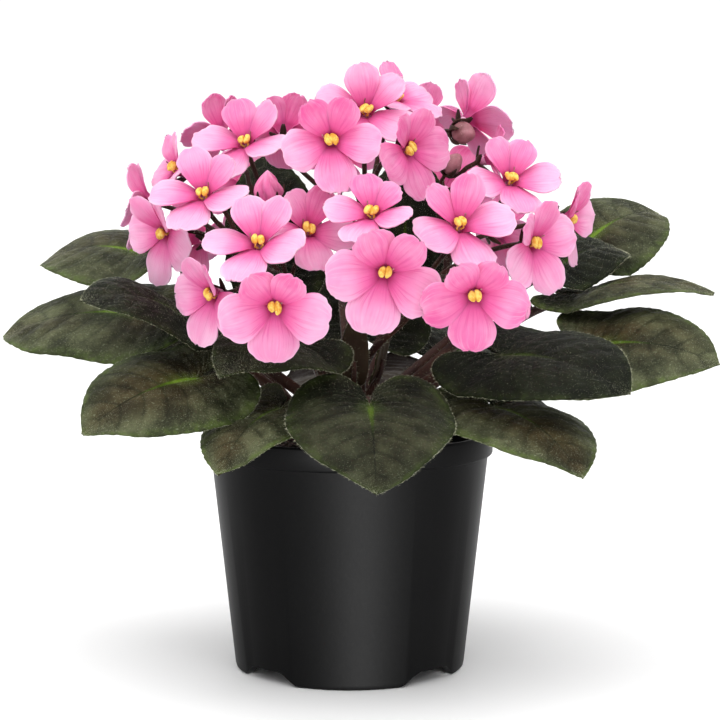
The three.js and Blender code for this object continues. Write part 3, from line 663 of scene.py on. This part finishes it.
leafShape = {
    "thickness": 1.1, "edgeShare": 0.4, "fold": 0.16, "reflex": 0.3, "arch": 5, "wave": 0.9, "keel": 1.5,
    "quilt": 0.75, "teeth": 0.5, "toothCount": 46, "columns": 48, "rows": 72,
    "stalkRadius": 2.3, "stalkTip": 1.5, "crownGap": 8.3, "fullWidth": 30, "seed": 100,
    "hairs": 3400, "fringe": 1200,
}
# hairs of the blade's face and edge: shortest, longest, width; of stalks: hairs for each mm, length
coat = {
    "face": (0.3, 0.75, 0.045), "edge": (0.4, 1.0, 0.07), "stalk": (4.5, 1.1), "youngStalk": (6, 1.1),
    "spray": (4.5, 1.0), "flowerStalk": (3.5, 0.9), "stalkWidth": 0.07, "spread": 0.35,
}
veinRows = np.array([  # across, where it ends at the edge and where it starts on the midrib
    (0.09, -0.2, 0), (0.36, -0.32, 0.03), (0.7, -0.31, 0.1), (0.92, -0.15, 0.18), (1, 0.12, 0.3),
    (0.94, 0.38, 0.46), (0.71, 0.67, 0.66), (0.36, 0.88, 0.84), (0, 1, 1),
])
# seat on the crown (azimuth, height), joint of stalk and blade, tip, width, lean,
# tone with painted shade (0 dark, for leaves lying in the shadow of the flowers, 1 olive and lighter)
leaves = {
    "leaf_front": ([4, 84], [7, -62, 104], [9, -104, 80], 56, 0, 0.38),
    "leaf_front_left": ([-30, 89.5], [-24, -43, 100], [-43, -78, 82], 40, 0, 1.0),
    "leaf_left_front": ([-62, 84], [-53, -39, 110], [-90, -59, 93], 54, 0.5, 0.9),
    "leaf_left": ([-86, 89.5], [-74, 6, 129], [-131, 26, 119], 54, 0.55, 0.9),
    "leaf_left_back": ([-108, 84], [-80, 38, 150], [-120, 56, 145], 52, 0.4, 0.75),
    "leaf_right_front": ([46, 84], [50, -46, 101], [77, -82, 82], 50, 0.1, 1.0),
    "leaf_right": ([84, 84], [86, -14, 119], [130, -30, 114], 56, 0.6, 1.0),
    "leaf_right_narrow": ([98, 89.5], [86, 14, 136], [132, -4, 137], 38, 0.15, 1.0),
    "leaf_right_back": ([126, 95], [91, 46, 154], [122, 68, 164], 50, 0.5, 0.7),
    "leaf_inner_front": ([-14, 95], [-17.5, -36, 121.5], [-44, -60, 113], 42, 0.4, 0.3),
    "leaf_inner_left": ([-72, 96], [-60, -22, 131], [-93, -38, 137], 46, 0.4, 0.15),
    "leaf_inner_right": ([52, 95], [53, -38, 118], [94, -68, 108], 54, 0.5, 0.0),
    "leaf_inner_back": ([88, 95], [78, 18, 146], [105, 33, 150], 34, 0.4, 0.0),
    "leaf_back_low": ([172, 84], [4, 60, 103], [3, 104, 80], 60, 0.1, 0.2),
    "leaf_back": ([-164, 89.5], [5, 54, 121], [12, 85, 145], 52, 0.9, 0.2),
    "leaf_back_right": ([134, 84], [34.5, 53, 108.5], [64, 84, 105], 58, 0.7, 0.2),
    "leaf_back_left": ([-136, 84], [-50, 44, 106], [-84, 72, 120], 50, 0.7, 0.4),
    "leaf_upright": ([157, 95], [20, 40, 146], [24, 54, 187], 38, 1.4, 0.1),
    "leaf_upright_left": ([-146, 95], [-28, 38, 146], [-33, 52, 187], 38, 1.4, 0.1),
}


def bladeFrame(joint, tip, lean):  # lean is a number, or for a young leaf the way its upper face looks
    reach = np.array(tip, float) - np.array(joint, float)
    length = np.linalg.norm(reach)
    along = reach / length
    face = np.array([0, -lean, 1.0]) if np.isscalar(lean) else np.array(lean, float)
    face = unit(face - face.dot(along) * along)
    return length, along, np.cross(along, face), face


def bladeSpots(leaf, index, w, v, quilted=True):
    p = leafShape
    joint, tip, width, lean = leaf[1:5]
    bend = min(1, width / p["fullWidth"])  # a small blade is less uneven
    length, alongWay, acrossWay, face = bladeFrame(joint, tip, lean)
    half = width / 2
    s = v * (len(veinRows) - 1)
    side = np.abs(w)
    across = np.maximum(through(veinRows[:, 0], s), 0)
    edge = through(veinRows[:, 1], s)
    rib = through(veinRows[:, 2], s)
    a = across * half * w
    along = rib + (edge - rib) * side**1.15
    arch = bend * np.where(along > 0, 4 * p["arch"] * along * (1 - along), p["arch"] * along**2)
    halves = p["fold"] * (np.sqrt(a * a + 1) - 1) - p["reflex"] * a * a / half
    rows = range(len(veinRows))
    waveLeft = through([vary(index, i) for i in rows], s)
    waveRight = through([vary(index, i + 20) for i in rows], s)
    high = arch + halves + bend * p["wave"] * np.where(w > 0, waveRight, waveLeft) * w * w
    if quilted:
        ahead = sideVeins["lean"] * side
        vein = (v - ahead) / (1 - ahead) * sideVeins["count"]  # whole at the side veins, which lean forward
        between = np.abs(np.sin(np.pi * vein)) ** 0.8
        cell = side * 5 + 0.5 * np.floor(vein) + 0.3 * ripple(s, side * 4, index)
        cells = np.abs(np.sin(np.pi * cell)) ** 0.8
        lifted = smoothStep(0.0, 0.25, side) * (1 - 0.8 * side**6) * np.minimum(1, (1 - v) * 6)
        high = high + bend * p["quilt"] * lifted * (between * (0.55 + 0.45 * cells) - 0.5)
        high = high - 0.5 * bend * np.exp(-((w / 0.035) ** 2)) * (1 - v)
        tooth = bend * p["teeth"] * np.abs(np.sin(np.pi * p["toothCount"] * v))
        a = a + tooth * side**24 * np.sign(w) * (across > 0.03)
    return joint + np.outer(along * length, alongWay) + np.outer(a, acrossWay) + np.outer(high, face)


def bladeWays(leaf, index, w, v):  # points with the ways outwards, sideways and onwards there
    def near(dw, dv):
        return bladeSpots(leaf, index, np.clip(w + dw, -1, 1), np.clip(v + dv, 0, 1))

    step = 0.004
    onW, onV = near(step, 0) - near(-step, 0), near(0, step) - near(0, -step)
    return near(0, 0), unit(np.cross(onW, onV) + 1e-9), unit(onW + 1e-9), unit(onV + 1e-9)


def leafStalk(leaf, index):
    p = leafShape
    (azimuth, height), joint, tip, _, lean, _ = leaf
    _, along, _, face = bladeFrame(joint, tip, lean)
    seat = around(azimuth, p["crownGap"], height)
    start = around(azimuth, p["crownGap"] + p["stalkRadius"], height)
    rib = bladeSpots(leaf, index, np.zeros(2), np.array([0.0, 0.24]), quilted=False)
    meet, under = rib - face * (p["thickness"] + 0.8)
    span = np.linalg.norm(meet - start)
    slope = (meet[2] - start[2]) / np.hypot(*(meet - start)[:2])
    curve = [start, start + around(azimuth, 1, slope) * span * 0.35, meet - along * span * 0.3 - face, meet]
    path = np.vstack([seat, bezier(curve, np.linspace(0, 1, 18)), (meet + under) / 2, under])
    radii = np.concatenate([np.linspace(p["stalkRadius"], p["stalkTip"], 19), [1.25, 0.7]])
    return path, radii


def makeBlade(name, leaf, index, columns, rows):
    p = leafShape
    _, joint, tip, width, lean, toneAndShade = leaf
    blade = sheetFrom(name, columns, rows, lambda w, v: bladeSpots(leaf, index, w, v))
    corners = [loop.vertex_index for loop in blade.data.loops]
    place = np.zeros((len(blade.data.vertices), 2))
    place[corners] = [spot.uv[:] for spot in blade.data.uv_layers.active.data]
    w, v = 2 * place[:, 0] - 1, place[:, 1]
    flesh = blade.vertex_groups.new(name="flesh")
    weights = 1 - np.maximum(np.abs(w) ** 8, smoothStep(0.9, 1, v))
    for i, weight in enumerate(weights):
        flesh.add([i], float(weight), "REPLACE")
    dress(blade, [leafUpper, leafUnder])
    giveWall(
        blade, p["thickness"], material_offset=1, vertex_group="flesh", thickness_vertex_group=p["edgeShare"]
    )
    face = bladeFrame(joint, tip, lean)[3]
    count = len(w)
    points = pointsOf(blade)
    keel = min(1, width / p["fullWidth"]) * p["keel"] * (1 - v) * np.exp(-((w / 0.09) ** 2)) * mm
    points[count:2 * count] -= keel[:, None] * face  # on the underside
    blade.data.vertices.foreach_set("co", points.ravel())
    blade.vertex_groups.clear()
    mergeClose(blade, 0.02)
    smoothed(blade)
    giveToneAndShade(blade, toneAndShade)
    return blade


def bladeHairs(name, leaf, index, hairs, fringe, draw):
    low, high, width = coat["face"]
    w = draw.uniform(-1, 1, hairs)
    v = draw.uniform(0.0, 1, hairs)
    spot, normal, _, onward = bladeWays(leaf, index, w, v)
    lengths = draw.uniform(low, high, hairs)
    above = fuzz(name, spot - 0.05 * normal, normal + 0.4 * onward, lengths, width, draw)
    low, high, width = coat["edge"]
    w = np.where(draw.uniform(size=fringe) < 0.5, -1.0, 1.0)
    v = draw.uniform(0.0, 0.995, fringe)
    spot, normal, sideways, onward = bladeWays(leaf, index, w, v)
    outward = sideways * w[:, None] + 0.3 * onward + 0.15 * normal
    lengths = draw.uniform(low, high, fringe)
    return [above, fuzz(name, spot - 0.15 * normal, outward, lengths, width, draw)]


def makeLeaf(name, leaf, index):
    p = leafShape
    draw = np.random.default_rng(p["seed"] + index)
    blade = makeBlade(name, leaf, index, p["columns"], p["rows"])
    path, radii = leafStalk(leaf, index)
    stalk = hairyStalk(name, path, radii, coat["stalk"], draw, 3, bare=1)
    hairs = bladeHairs(name, leaf, index, p["hairs"], p["fringe"], draw)
    return joined(name + "_grown", [blade, *stalk, *hairs])


def makeYoung(azimuth, index):
    p = young
    draw = np.random.default_rng(p["seed"] + index)
    root, joint, tip = [around(azimuth, *p[key]) for key in ("root", "joint", "tip")]
    upper = around(azimuth, -1, (p["tip"][0] - p["joint"][0]) / (p["tip"][1] - p["joint"][1]))
    leaf = (None, joint, tip, p["width"], upper, p["toneAndShade"])
    blade = makeBlade("young", leaf, index, p["columns"], p["rows"])
    face = bladeFrame(joint, tip, upper)[3]
    meet, under = bladeSpots(leaf, index, np.zeros(2), np.array([0.0, 0.3]), quilted=False) - face * 1.5
    bow = meet + (meet - under) * 0.5 - [0, 0, 3]
    path = np.vstack([bezier([root, root + [0, 0, 3], bow, meet], np.linspace(0, 1, 10)), under])
    radii = np.append(np.linspace(p["stalk"] * 1.2, p["stalk"], 10), 0.6)
    stalk = hairyStalk("young", path, radii, coat["youngStalk"], draw)
    return [blade, *stalk, *bladeHairs("young", leaf, index, p["hairs"], p["fringe"], draw)]


# Flowers

bloomShape = {
    "radius": 19, "thickness": 0.42, "throat": 2.5, "tubeDepth": 3.5, "tubeTip": 1.5, "tubeTop": 1.4,
    "columns": 16, "rows": 24, "inside": 1.2, "throatFall": 1.6, "frill": 0.6, "ragged": 0.02,
    "crease": 0.45, "creaseWidth": 0.16, "notch": 0.03, "notchWidth": 0.25, "roundTip": 0.05,
    # upper petals are deeper than lower ones, partly their own colour and partly painted shade
    "curl": 1.3, "droop": 0.5, "stack": (0.35, 0.55, 0.0, 0.45, 0.1), "upperToneAndShade": 0.45, "lowerToneAndShade": -0.12,
}
# how far the petals differ from each other
uneven = {"reach": 0.04, "width": 0.06, "lift": 0.13, "twist": 0.16, "droop": 0.9, "turn": 3, "toneAndShade": 0.18}
anther = {  # the size is that of one pollen sac
    "size": (1.2, 2.1, 1.15), "apart": 1.1, "height": 2.5, "groove": 0.3, "grooveWidth": 0.22, "lump": 0.07,
    "bend": 0.28, "unevenSize": (0.12, 0.3), "unevenPlace": (0.45, 0.35), "unevenTurn": 30,
    "filament": [(0.5, -0.4, -0.8), (1.3, -0.9, 0.6), (0.9, -0.5, 2.0)], "filamentRadii": [0.35, 0.38, 0.3],
    "style": [(0, 0.4, -0.8), (-1.6, 1.0, 1.2), (-2.3, 1.6, 3.0), (-2.4, 2.0, 4.2)],
    "styleRadii": [0.28, 0.22, 0.2, 0.3],
}
# angle from the right and anticlockwise, length, half width, cup
petals = [
    (58, 0.76, 6.4, 0.95), (122, 0.76, 6.4, 0.95), (195, 1, 8.3, 0.38), (270, 1.08, 8.2, 0.14),
    (345, 1, 8.3, 0.38),
]
stalkShape = {
    "seatRadius": 4.6, "seatHeight": 101.3, "straight": 3, "root": 1.5, "fork": 1.15, "branch": 0.95,
    "tip": 0.7, "apart": 0.02, "seed": 40,
}
calyx = {
    "count": 5, "reach": 5.2, "floor": 4.4, "rise": 2.6, "width": 1.15, "thickness": 0.55, "base": 0.9,
    "inside": 0.4,
}
budShape = {"columns": 50, "rows": 22, "fold": 0.12, "openFold": 0.3, "turns": 2.5, "twist": 4.0, "toneAndShade": 1.1}
# azimuth and fork of each spray; flowers as throat, gaze (azimuth, height), turn, size,
# tone with painted shade (0 pale, 1 deep, higher for blooms lying in shadow); buds as middle, gaze, length,
# width and how far the petals show (0 to 1)
sprays = {
    "spray_left": (-90, [-36, -4, 144], [
        ([-65, -20, 160], [-48, -5], 16, 0.96, 0.25),
        ([-46, -50, 140], [-45, -2], 14, 0.92, 0.3),
        ([-74, 14, 170], [-100, 15], 0, 0.92, 0.25),
        ([-62, -2, 182], [-62, 28], 0, 0.8, 0.3),
        ([-57, 38, 156], [-130, 15], 0, 0.95, 0.5),
        ([-47, 18, 195], [-130, 40], 0, 0.85, 0.7),
    ], []),
    "spray_front_left": (-38, [-22, -26, 142], [
        ([-50, -38, 173], [-18, 50], 8, 1, 0.2),
        ([-30, -59, 157], [-12, 50], 8, 1, -0.1),
        ([-24, -78, 138], [0, -10], 0, 1, 0.5),
        ([-37, -10, 191], [-20, 50], 10, 1, 0.15),
        ([-14, -44, 161], [16, 38], 0, 0.88, 0.3),
    ], [([-28, -36, 176], [0, 68], 13, 9.4, 1)]),
    "spray_front_right": (40, [26, -26, 140], [
        ([8, -58, 167], [-14, 52], 12, 0.84, 0.25),
        ([12, -74, 149], [0, -4], 14, 1.08, 0.42),
        ([37, -56, 163], [16, 40], -14, 1, 0.4),
        ([41, -78, 142], [5, -10], 0, 0.96, 1.05),
        ([63, -40, 157], [40, 5], -26, 0.95, 0.45),
    ], [([59, -46, 134], [30, -30], 9, 6.5, 0.5)]),
    "spray_right": (104, [36, 0, 150], [
        ([56, -30, 178], [16, 46], 0, 0.9, 0.4),
        ([78, -8, 164], [64, 8], -14, 0.88, 0.35),
        ([50, -9, 186], [80, 20], 0, 0.72, 0.6),
        ([56, 42, 158], [125, 15], 0, 0.95, 0.5),
    ], [([37, -10, 184], [60, 50], 9, 6.5, 0)]),
    "spray_top": (148, [6, -2, 162], [
        ([-6, -44, 192], [0, 14], -4, 0.93, 0.55),
        ([6, -14, 202], [5, 40], 20, 1.02, -0.4),
        ([20, -34, 189], [38, 10], -14, 0.93, 0.95),
        ([43, 10, 200], [130, 30], 0, 0.98, 0.0),
        ([26, 34, 200], [160, 45], 0, 0.85, 0.25),
        ([17, 9, 207], [40, 60], -25, 0.85, 0.4),
        ([-24, 6, 195], [180, 35], 0, 0.85, 0.7),
    ], [([41, -6, 195], [60, -10], 9, 8, 0)]),
    "spray_back": (-166, [-4, 54, 144], [
        ([38, 62, 174], [150, 25], 0, 1, 0.4),
        ([-4, 68, 188], [180, 35], 0, 1, 0.2),
        ([-40, 60, 174], [-150, 20], 0, 1, 0.3),
        ([18, 82, 158], [170, 5], 0, 1, 0.45),
        ([-26, 80, 154], [-165, 5], 0, 1, 0.4),
    ], []),
}


def flatWays(degrees):  # outwards and to the left of that, in a flower's own plane
    c, s = math.cos(math.radians(degrees)), math.sin(math.radians(degrees))
    return np.array([c, s, 0]), np.array([-s, c, 0])


def petalSpots(index, i, size, w, v):
    p = bloomShape
    angle, length, width, cup = petals[i]
    radius = p["radius"] * size
    reach = radius * length * (1 + uneven["reach"] * vary(index, i))
    half = width * size * (1 + uneven["width"] * vary(index + 50, i))
    lift = cup + uneven["lift"] * vary(index, i + 7)
    twist = uneven["twist"] * vary(index, i + 13)
    droop = uneven["droop"] * vary(index + 9, i) - p["droop"]
    curl = p["curl"] * max(0, vary(index + 77, i))  # some tips bend back
    v = np.where(v < 0.5, v * 1.2, 0.6 + 0.4 * np.sin(np.pi * (v - 0.5)))  # rows stand closer towards the tip
    base = through([0.2, 0.38, 0.54, 0.68, 0.82, 0.93, 0.98, 1], np.minimum(v * 10, 6.9))
    swell = base * (1 - np.clip((v - 0.6) / 0.4005, 0, 1) ** 2.2) ** (1 / 2.2)
    w = w * swell
    side = np.abs(w)
    r = p["inside"] + (reach - p["inside"]) * v - p["roundTip"] * reach * w * w * smoothStep(0.6, 1, v)
    r = r - p["notch"] * reach * np.exp(-((w / p["notchWidth"]) ** 2)) * smoothStep(0.85, 1, v)
    across = half * w
    share = r / radius
    high = radius * lift * share * (1 - 0.35 * share) + twist * across
    high = high - np.clip(p["throat"] - r, 0, None) * p["throatFall"]
    high = high + droop * side**2 * v + p["stack"][i] * smoothStep(0.15, 0.5, v)
    high = high - curl * v**4
    frill = p["frill"] * ripple(w * 1.9 + i * 7, v * 1.6 + index * 3, index + 5 * i) * v**2
    high = high + frill * (0.4 + side)
    crease = p["crease"] * np.exp(-((w / p["creaseWidth"]) ** 2))
    high = high - crease * smoothStep(0.05, 0.25, v) * (1 - smoothStep(0.5, 1, v))
    ragged = p["ragged"] * ripple(v * 5 + w * 2, w * 3, index + 31 * i)
    edge = 1 + ragged * smoothStep(0.3, 0.8, np.maximum(side, v))
    out, left = flatWays(angle + uneven["turn"] * vary(index + 5, i))
    return np.outer(r * edge, out) - np.outer(across * edge, left) + np.outer(high, [0, 0, 1])


def makeBloom(number, bloom):
    p = bloomShape
    at, faces, turn, size, toneAndShade = bloom
    pose = lookAlong(faces, turn)
    name = "bloom_%02d" % number
    pieces = []
    for i in range(len(petals)):
        sheet = sheetFrom(
            name + "_petal", p["columns"], p["rows"],
            lambda w, v: at + petalSpots(number, i, size, w, v) @ pose.T,
        )
        dress(sheet, [petalFront, petalBack])
        giveWall(sheet, p["thickness"], material_offset=1)
        # upper petals are deeper than lower ones, partly their own colour and partly painted shade
        ownToneAndShade = p["upperToneAndShade"] if i < 2 else p["lowerToneAndShade"]
        giveToneAndShade(sheet, toneAndShade + ownToneAndShade + uneven["toneAndShade"] * vary(number, i + 40))
        pieces.append(sheet)
    bpy.ops.mesh.primitive_cone_add(
        vertices=20, radius1=p["tubeTip"] * mm, radius2=p["throat"] * mm, depth=p["tubeDepth"] * mm,
        location=(0, 0, -p["tubeDepth"] / 2 * mm),
    )
    tube = bpy.context.object
    editWhole(
        tube, bpy.ops.mesh.bisect, plane_co=(0, 0, -p["tubeTop"] * mm), plane_no=(0, 0, 1), clear_outer=True
    )
    settle(tube, pose, at)
    dress(tube, [petalBack])
    giveToneAndShade(tube, toneAndShade)
    flower = joined(name + "_petals", pieces + [tube])
    smoothed(flower, 60)
    return flower


def makeAnthers(number, bloom):
    p = anther
    at, faces, turn = bloom[:3]
    pose = lookAlong(faces, turn + p["unevenTurn"] * vary(number, 60))
    wide, long, thick = p["size"]
    parts = []
    for sign in (-1, 1):
        bpy.ops.mesh.primitive_uv_sphere_add(segments=20, ring_count=14, radius=mm)
        sac = bpy.context.object
        ownWide = wide + p["unevenSize"][0] * vary(number, sign)
        ownLong = long + p["unevenSize"][1] * vary(number, sign + 4)
        forward = p["unevenPlace"][0] * vary(number, sign + 8)
        height = p["height"] + p["unevenPlace"][1] * vary(number, sign + 12)
        for vertex in sac.data.vertices:
            x, y, z = vertex.co / mm
            groove = p["groove"] * math.exp(-((x / p["grooveWidth"]) ** 2)) * (z > 0)  # between its two lobes
            lump = 1 + p["lump"] * ripple(x * 2.4 + sign * 5, y * 2.4 + z * 1.7, number)
            bend = p["bend"] * y * y
            vertex.co = (
                (x * lump * ownWide + sign * (p["apart"] - bend * wide)) * mm,
                (y * lump * ownLong + forward) * mm,
                (z * thick * lump * (1 - groove) + height) * mm,
            )
        dress(sac, [antherSkin])
        smoothed(sac)
        settle(sac, pose, at)
        parts.append(sac)
        path = np.array(p["filament"]) * [sign, 1, 1]
        parts.append(tubeAlong("filament", at + path @ pose.T, p["filamentRadii"], antherSkin, 1))
    path = np.array(p["style"]) * [1 if vary(number, 3) > 0 else -1, 1, 1]
    parts.append(tubeAlong("style", at + path @ pose.T, p["styleRadii"], budSkin, 1))
    return joined("bloom_%02d_anthers" % number, parts)


def sprigPath(end, out, start):
    span = np.linalg.norm(start - end)
    third = start + np.array([0, 0, 1]) * span * 0.25
    curve = [end, end - out * span * 0.35, third + (end - third) * 0.15, start]
    return bezier(curve, np.linspace(0, 1, 12))


def makeSepals(name, at, pose, reach, floor, rise, clasp=False):
    p = calyx
    sepals = []
    for k in range(p["count"]):
        out, left = flatWays(90 - 360 / p["count"] * k)

        def spots(w, v):
            width = p["width"] * np.interp(v, [0, 0.3, 0.6, 0.85, 1], [0.75, 1, 0.85, 0.45, 0.04])
            r = p["inside"] + (reach - p["inside"]) * v
            high = -floor + rise * v**1.4 + 0.35 * w * w - 0.25 * v * v * vary(k, reach)
            if clasp:
                r = reach * np.sin(0.5 * np.pi * v) ** 0.7
                high = -floor * np.cos(0.5 * np.pi * v) + rise * v
            return at + (np.outer(r, out) - np.outer(width * w, left) + np.outer(high, [0, 0, 1])) @ pose.T

        sepal = sheetFrom(name, 4, 8, spots)
        dress(sepal, [stalkSkin])
        giveWall(sepal, p["thickness"])
        smoothed(sepal)
        sepals.append(sepal)
    return sepals


def makeBud(name, bud, start, draw):
    p = budShape
    at, faces, length, width, opening = bud
    out = gaze(faces)
    pose = lookAlong(faces, 0)

    def spots(w, v):  # furled petals, turned round each other
        turn = math.pi * w
        r = width / 2 * np.maximum(np.sin(np.pi * v ** (0.85 - 0.15 * opening)), 0) ** (0.6 + 0.3 * opening)
        folds = np.abs(np.sin(p["turns"] * turn + p["twist"] * v)) - 0.6
        fold = 1 + (p["fold"] + p["openFold"] * opening) * folds * smoothStep(0, 0.4, v)
        x, y = r * fold * np.cos(turn), r * fold * np.sin(turn)
        return at + np.stack([x, y, length * (v - 0.5)], axis=1) @ pose.T

    body = sheetFrom(name, p["columns"], p["rows"], spots)
    mergeClose(body, 0.02)
    faceOutwards(body)
    giveToneAndShade(body, p["toneAndShade"])
    dress(body, [petalBack if opening else budSkin])
    smoothed(body)
    path = sprigPath(at - out * length * 0.46, out, start)
    radii = np.linspace(stalkShape["tip"], stalkShape["branch"], len(path))
    stem = hairyStalk(name, path, radii, coat["flowerStalk"], draw)
    sepals = makeSepals(name, at, pose, width * 0.54 + 0.4, length * 0.5 + 0.3, 0.4, clasp=True)
    return [body, *stem, *sepals]


def makeSpray(name, spray, index):
    p = stalkShape
    azimuth, fork, blooms, buds = spray
    draw = np.random.default_rng(p["seed"] + index)
    root = around(azimuth, p["seatRadius"], p["seatHeight"])
    start = root + [0, 0, p["straight"]]
    fork = np.array(fork, float)
    rise = fork[2] - start[2]
    curve = [start, start + [0, 0, rise * 0.4], fork - [0, 0, rise * 0.3], fork]
    path = np.vstack([root, bezier(curve, np.linspace(0, 1, 16))])
    radii = np.linspace(p["root"], p["fork"], len(path))
    pieces = hairyStalk(name, path, radii, coat["spray"], draw, 3)
    forks = bezier(curve, 0.98 - p["apart"] * np.arange(len(blooms) + len(buds)))
    for (at, faces, turn, *_), leave in zip(blooms, forks):
        out = gaze(faces)
        path = sprigPath(at - out * (calyx["floor"] + calyx["base"]), out, leave)
        path = np.vstack([at - out * (calyx["floor"] - 0.3), path])
        radii = np.concatenate([[1.5], np.linspace(p["tip"] + 0.15, p["branch"], len(path) - 1)])
        pieces += hairyStalk(name, path, radii, coat["flowerStalk"], draw, bare=1)
        pose = lookAlong(faces, turn)
        pieces += makeSepals(name, at, pose, calyx["reach"], calyx["floor"], calyx["rise"])
    for bud, leave in zip(buds, forks[len(blooms):]):
        pieces += makeBud(name, bud, leave, draw)
    return joined(name + "_grown", pieces)


# Build everything and tie it to the frame


def hold(piece, slot, *nodes):
    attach(piece, "root")
    if nodes:
        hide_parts(*nodes)


print("pot")
potBody = makePot()
potBody.name = "pot_body"
hold(potBody, "pot", "pot")
print("soil and crown")
hold(makeSoil(), "soil", "soil")
hold(makeCrown(), "crown", "crown")
print("leaves")
for index, (name, leaf) in enumerate(leaves.items()):
    hold(makeLeaf(name, leaf, index), "leaf", name)
print("sprays and flowers")
number = 0
for index, (name, spray) in enumerate(sprays.items()):
    hold(makeSpray(name, spray, index), "stalk", name)
    for bloom in spray[2]:
        number += 1
        hold(makeBloom(number, bloom), "petal", "bloom_%02d" % number)
        hold(makeAnthers(number, bloom), "anther")

# Floor, light and camera

studio = {
    "floor": (0.97, 0.97, 0.97, 1), "ambient": 1.08, "sideShade": 0.4,
    "sunPower": 1.75, "sunFrom": (-0.03, -0.4, 1.0), "sunSpread": 70,
    "stripPower": 340.0, "stripAt": (0.16, -0.9, 0.06), "stripSize": (0.2, 0.11), "stripTarget": (0, 0, 0.04),
    "cameraAt": (0.0038, -0.76, 0.187), "cameraDown": 5.59, "lens": 104.5,
}

print("studio")
bpy.ops.mesh.primitive_circle_add(vertices=96, radius=9, fill_type="NGON", location=(0, 0, -0.0001))
floor = bpy.context.object
floor.name = "floor"
dress(floor, [startMaterial("floorPaint", Roughness=0.7, Base_Color=studio["floor"])[0]])

light = bpy.data.lights.new("strip", "AREA")
light.shape = "RECTANGLE"
light.size, light.size_y = studio["stripSize"]
light.energy = studio["stripPower"]
strip = putInScene("strip", light)
strip.location = studio["stripAt"]
strip.rotation_euler = (Vector(studio["stripTarget"]) - strip.location).to_track_quat("-Z", "Y").to_euler()
glossy = bpy.data.collections.new("glossy")
glossy.objects.link(potBody)
strip.light_linking.receiver_collection = glossy  # a soft band of gloss down the pot and nothing else
strip.visible_diffuse = False
sun = bpy.data.lights.new("sun", "SUN")
sun.energy = studio["sunPower"]
sun.angle = math.radians(studio["sunSpread"])
sunLamp = putInScene("sun", sun)
sunLamp.rotation_euler = Vector(studio["sunFrom"]).to_track_quat("Z", "Y").to_euler()

world = bpy.data.worlds.new("studioWorld")
world.use_nodes = True
bpy.context.scene.world = world
sky = world.node_tree
ways = addNode(sky, "SeparateXYZ", Vector=addNode(sky, "TexCoord").outputs["Generated"])
toTheSide = fade(sky, maths(sky, "ABSOLUTE", ways.outputs[0]), 0.45, 0.85)
lowDown = fade(sky, ways.outputs[2], 0.6, 0.2)
shade = times(sky, toTheSide, lowDown)
dim = fade(sky, shade, 0.0, 1.0, studio["ambient"], studio["sideShade"])
seen = addNode(sky, "LightPath").outputs["Is Camera Ray"]
strength = maths(sky, "MAXIMUM", dim, seen)
sky.links.new(strength, sky.nodes["Background"].inputs[1])
sky.nodes["Background"].inputs[0].default_value = (1, 1, 1, 1)
bpy.context.scene.view_settings.view_transform = "Standard"

camera = bpy.data.cameras.new("camera")
camera.lens = studio["lens"]
camera.sensor_width = 36
view = putInScene("camera", camera)
view.location = studio["cameraAt"]
view.rotation_euler = (math.radians(90 - studio["cameraDown"]), 0, 0)
bpy.context.scene.camera = view
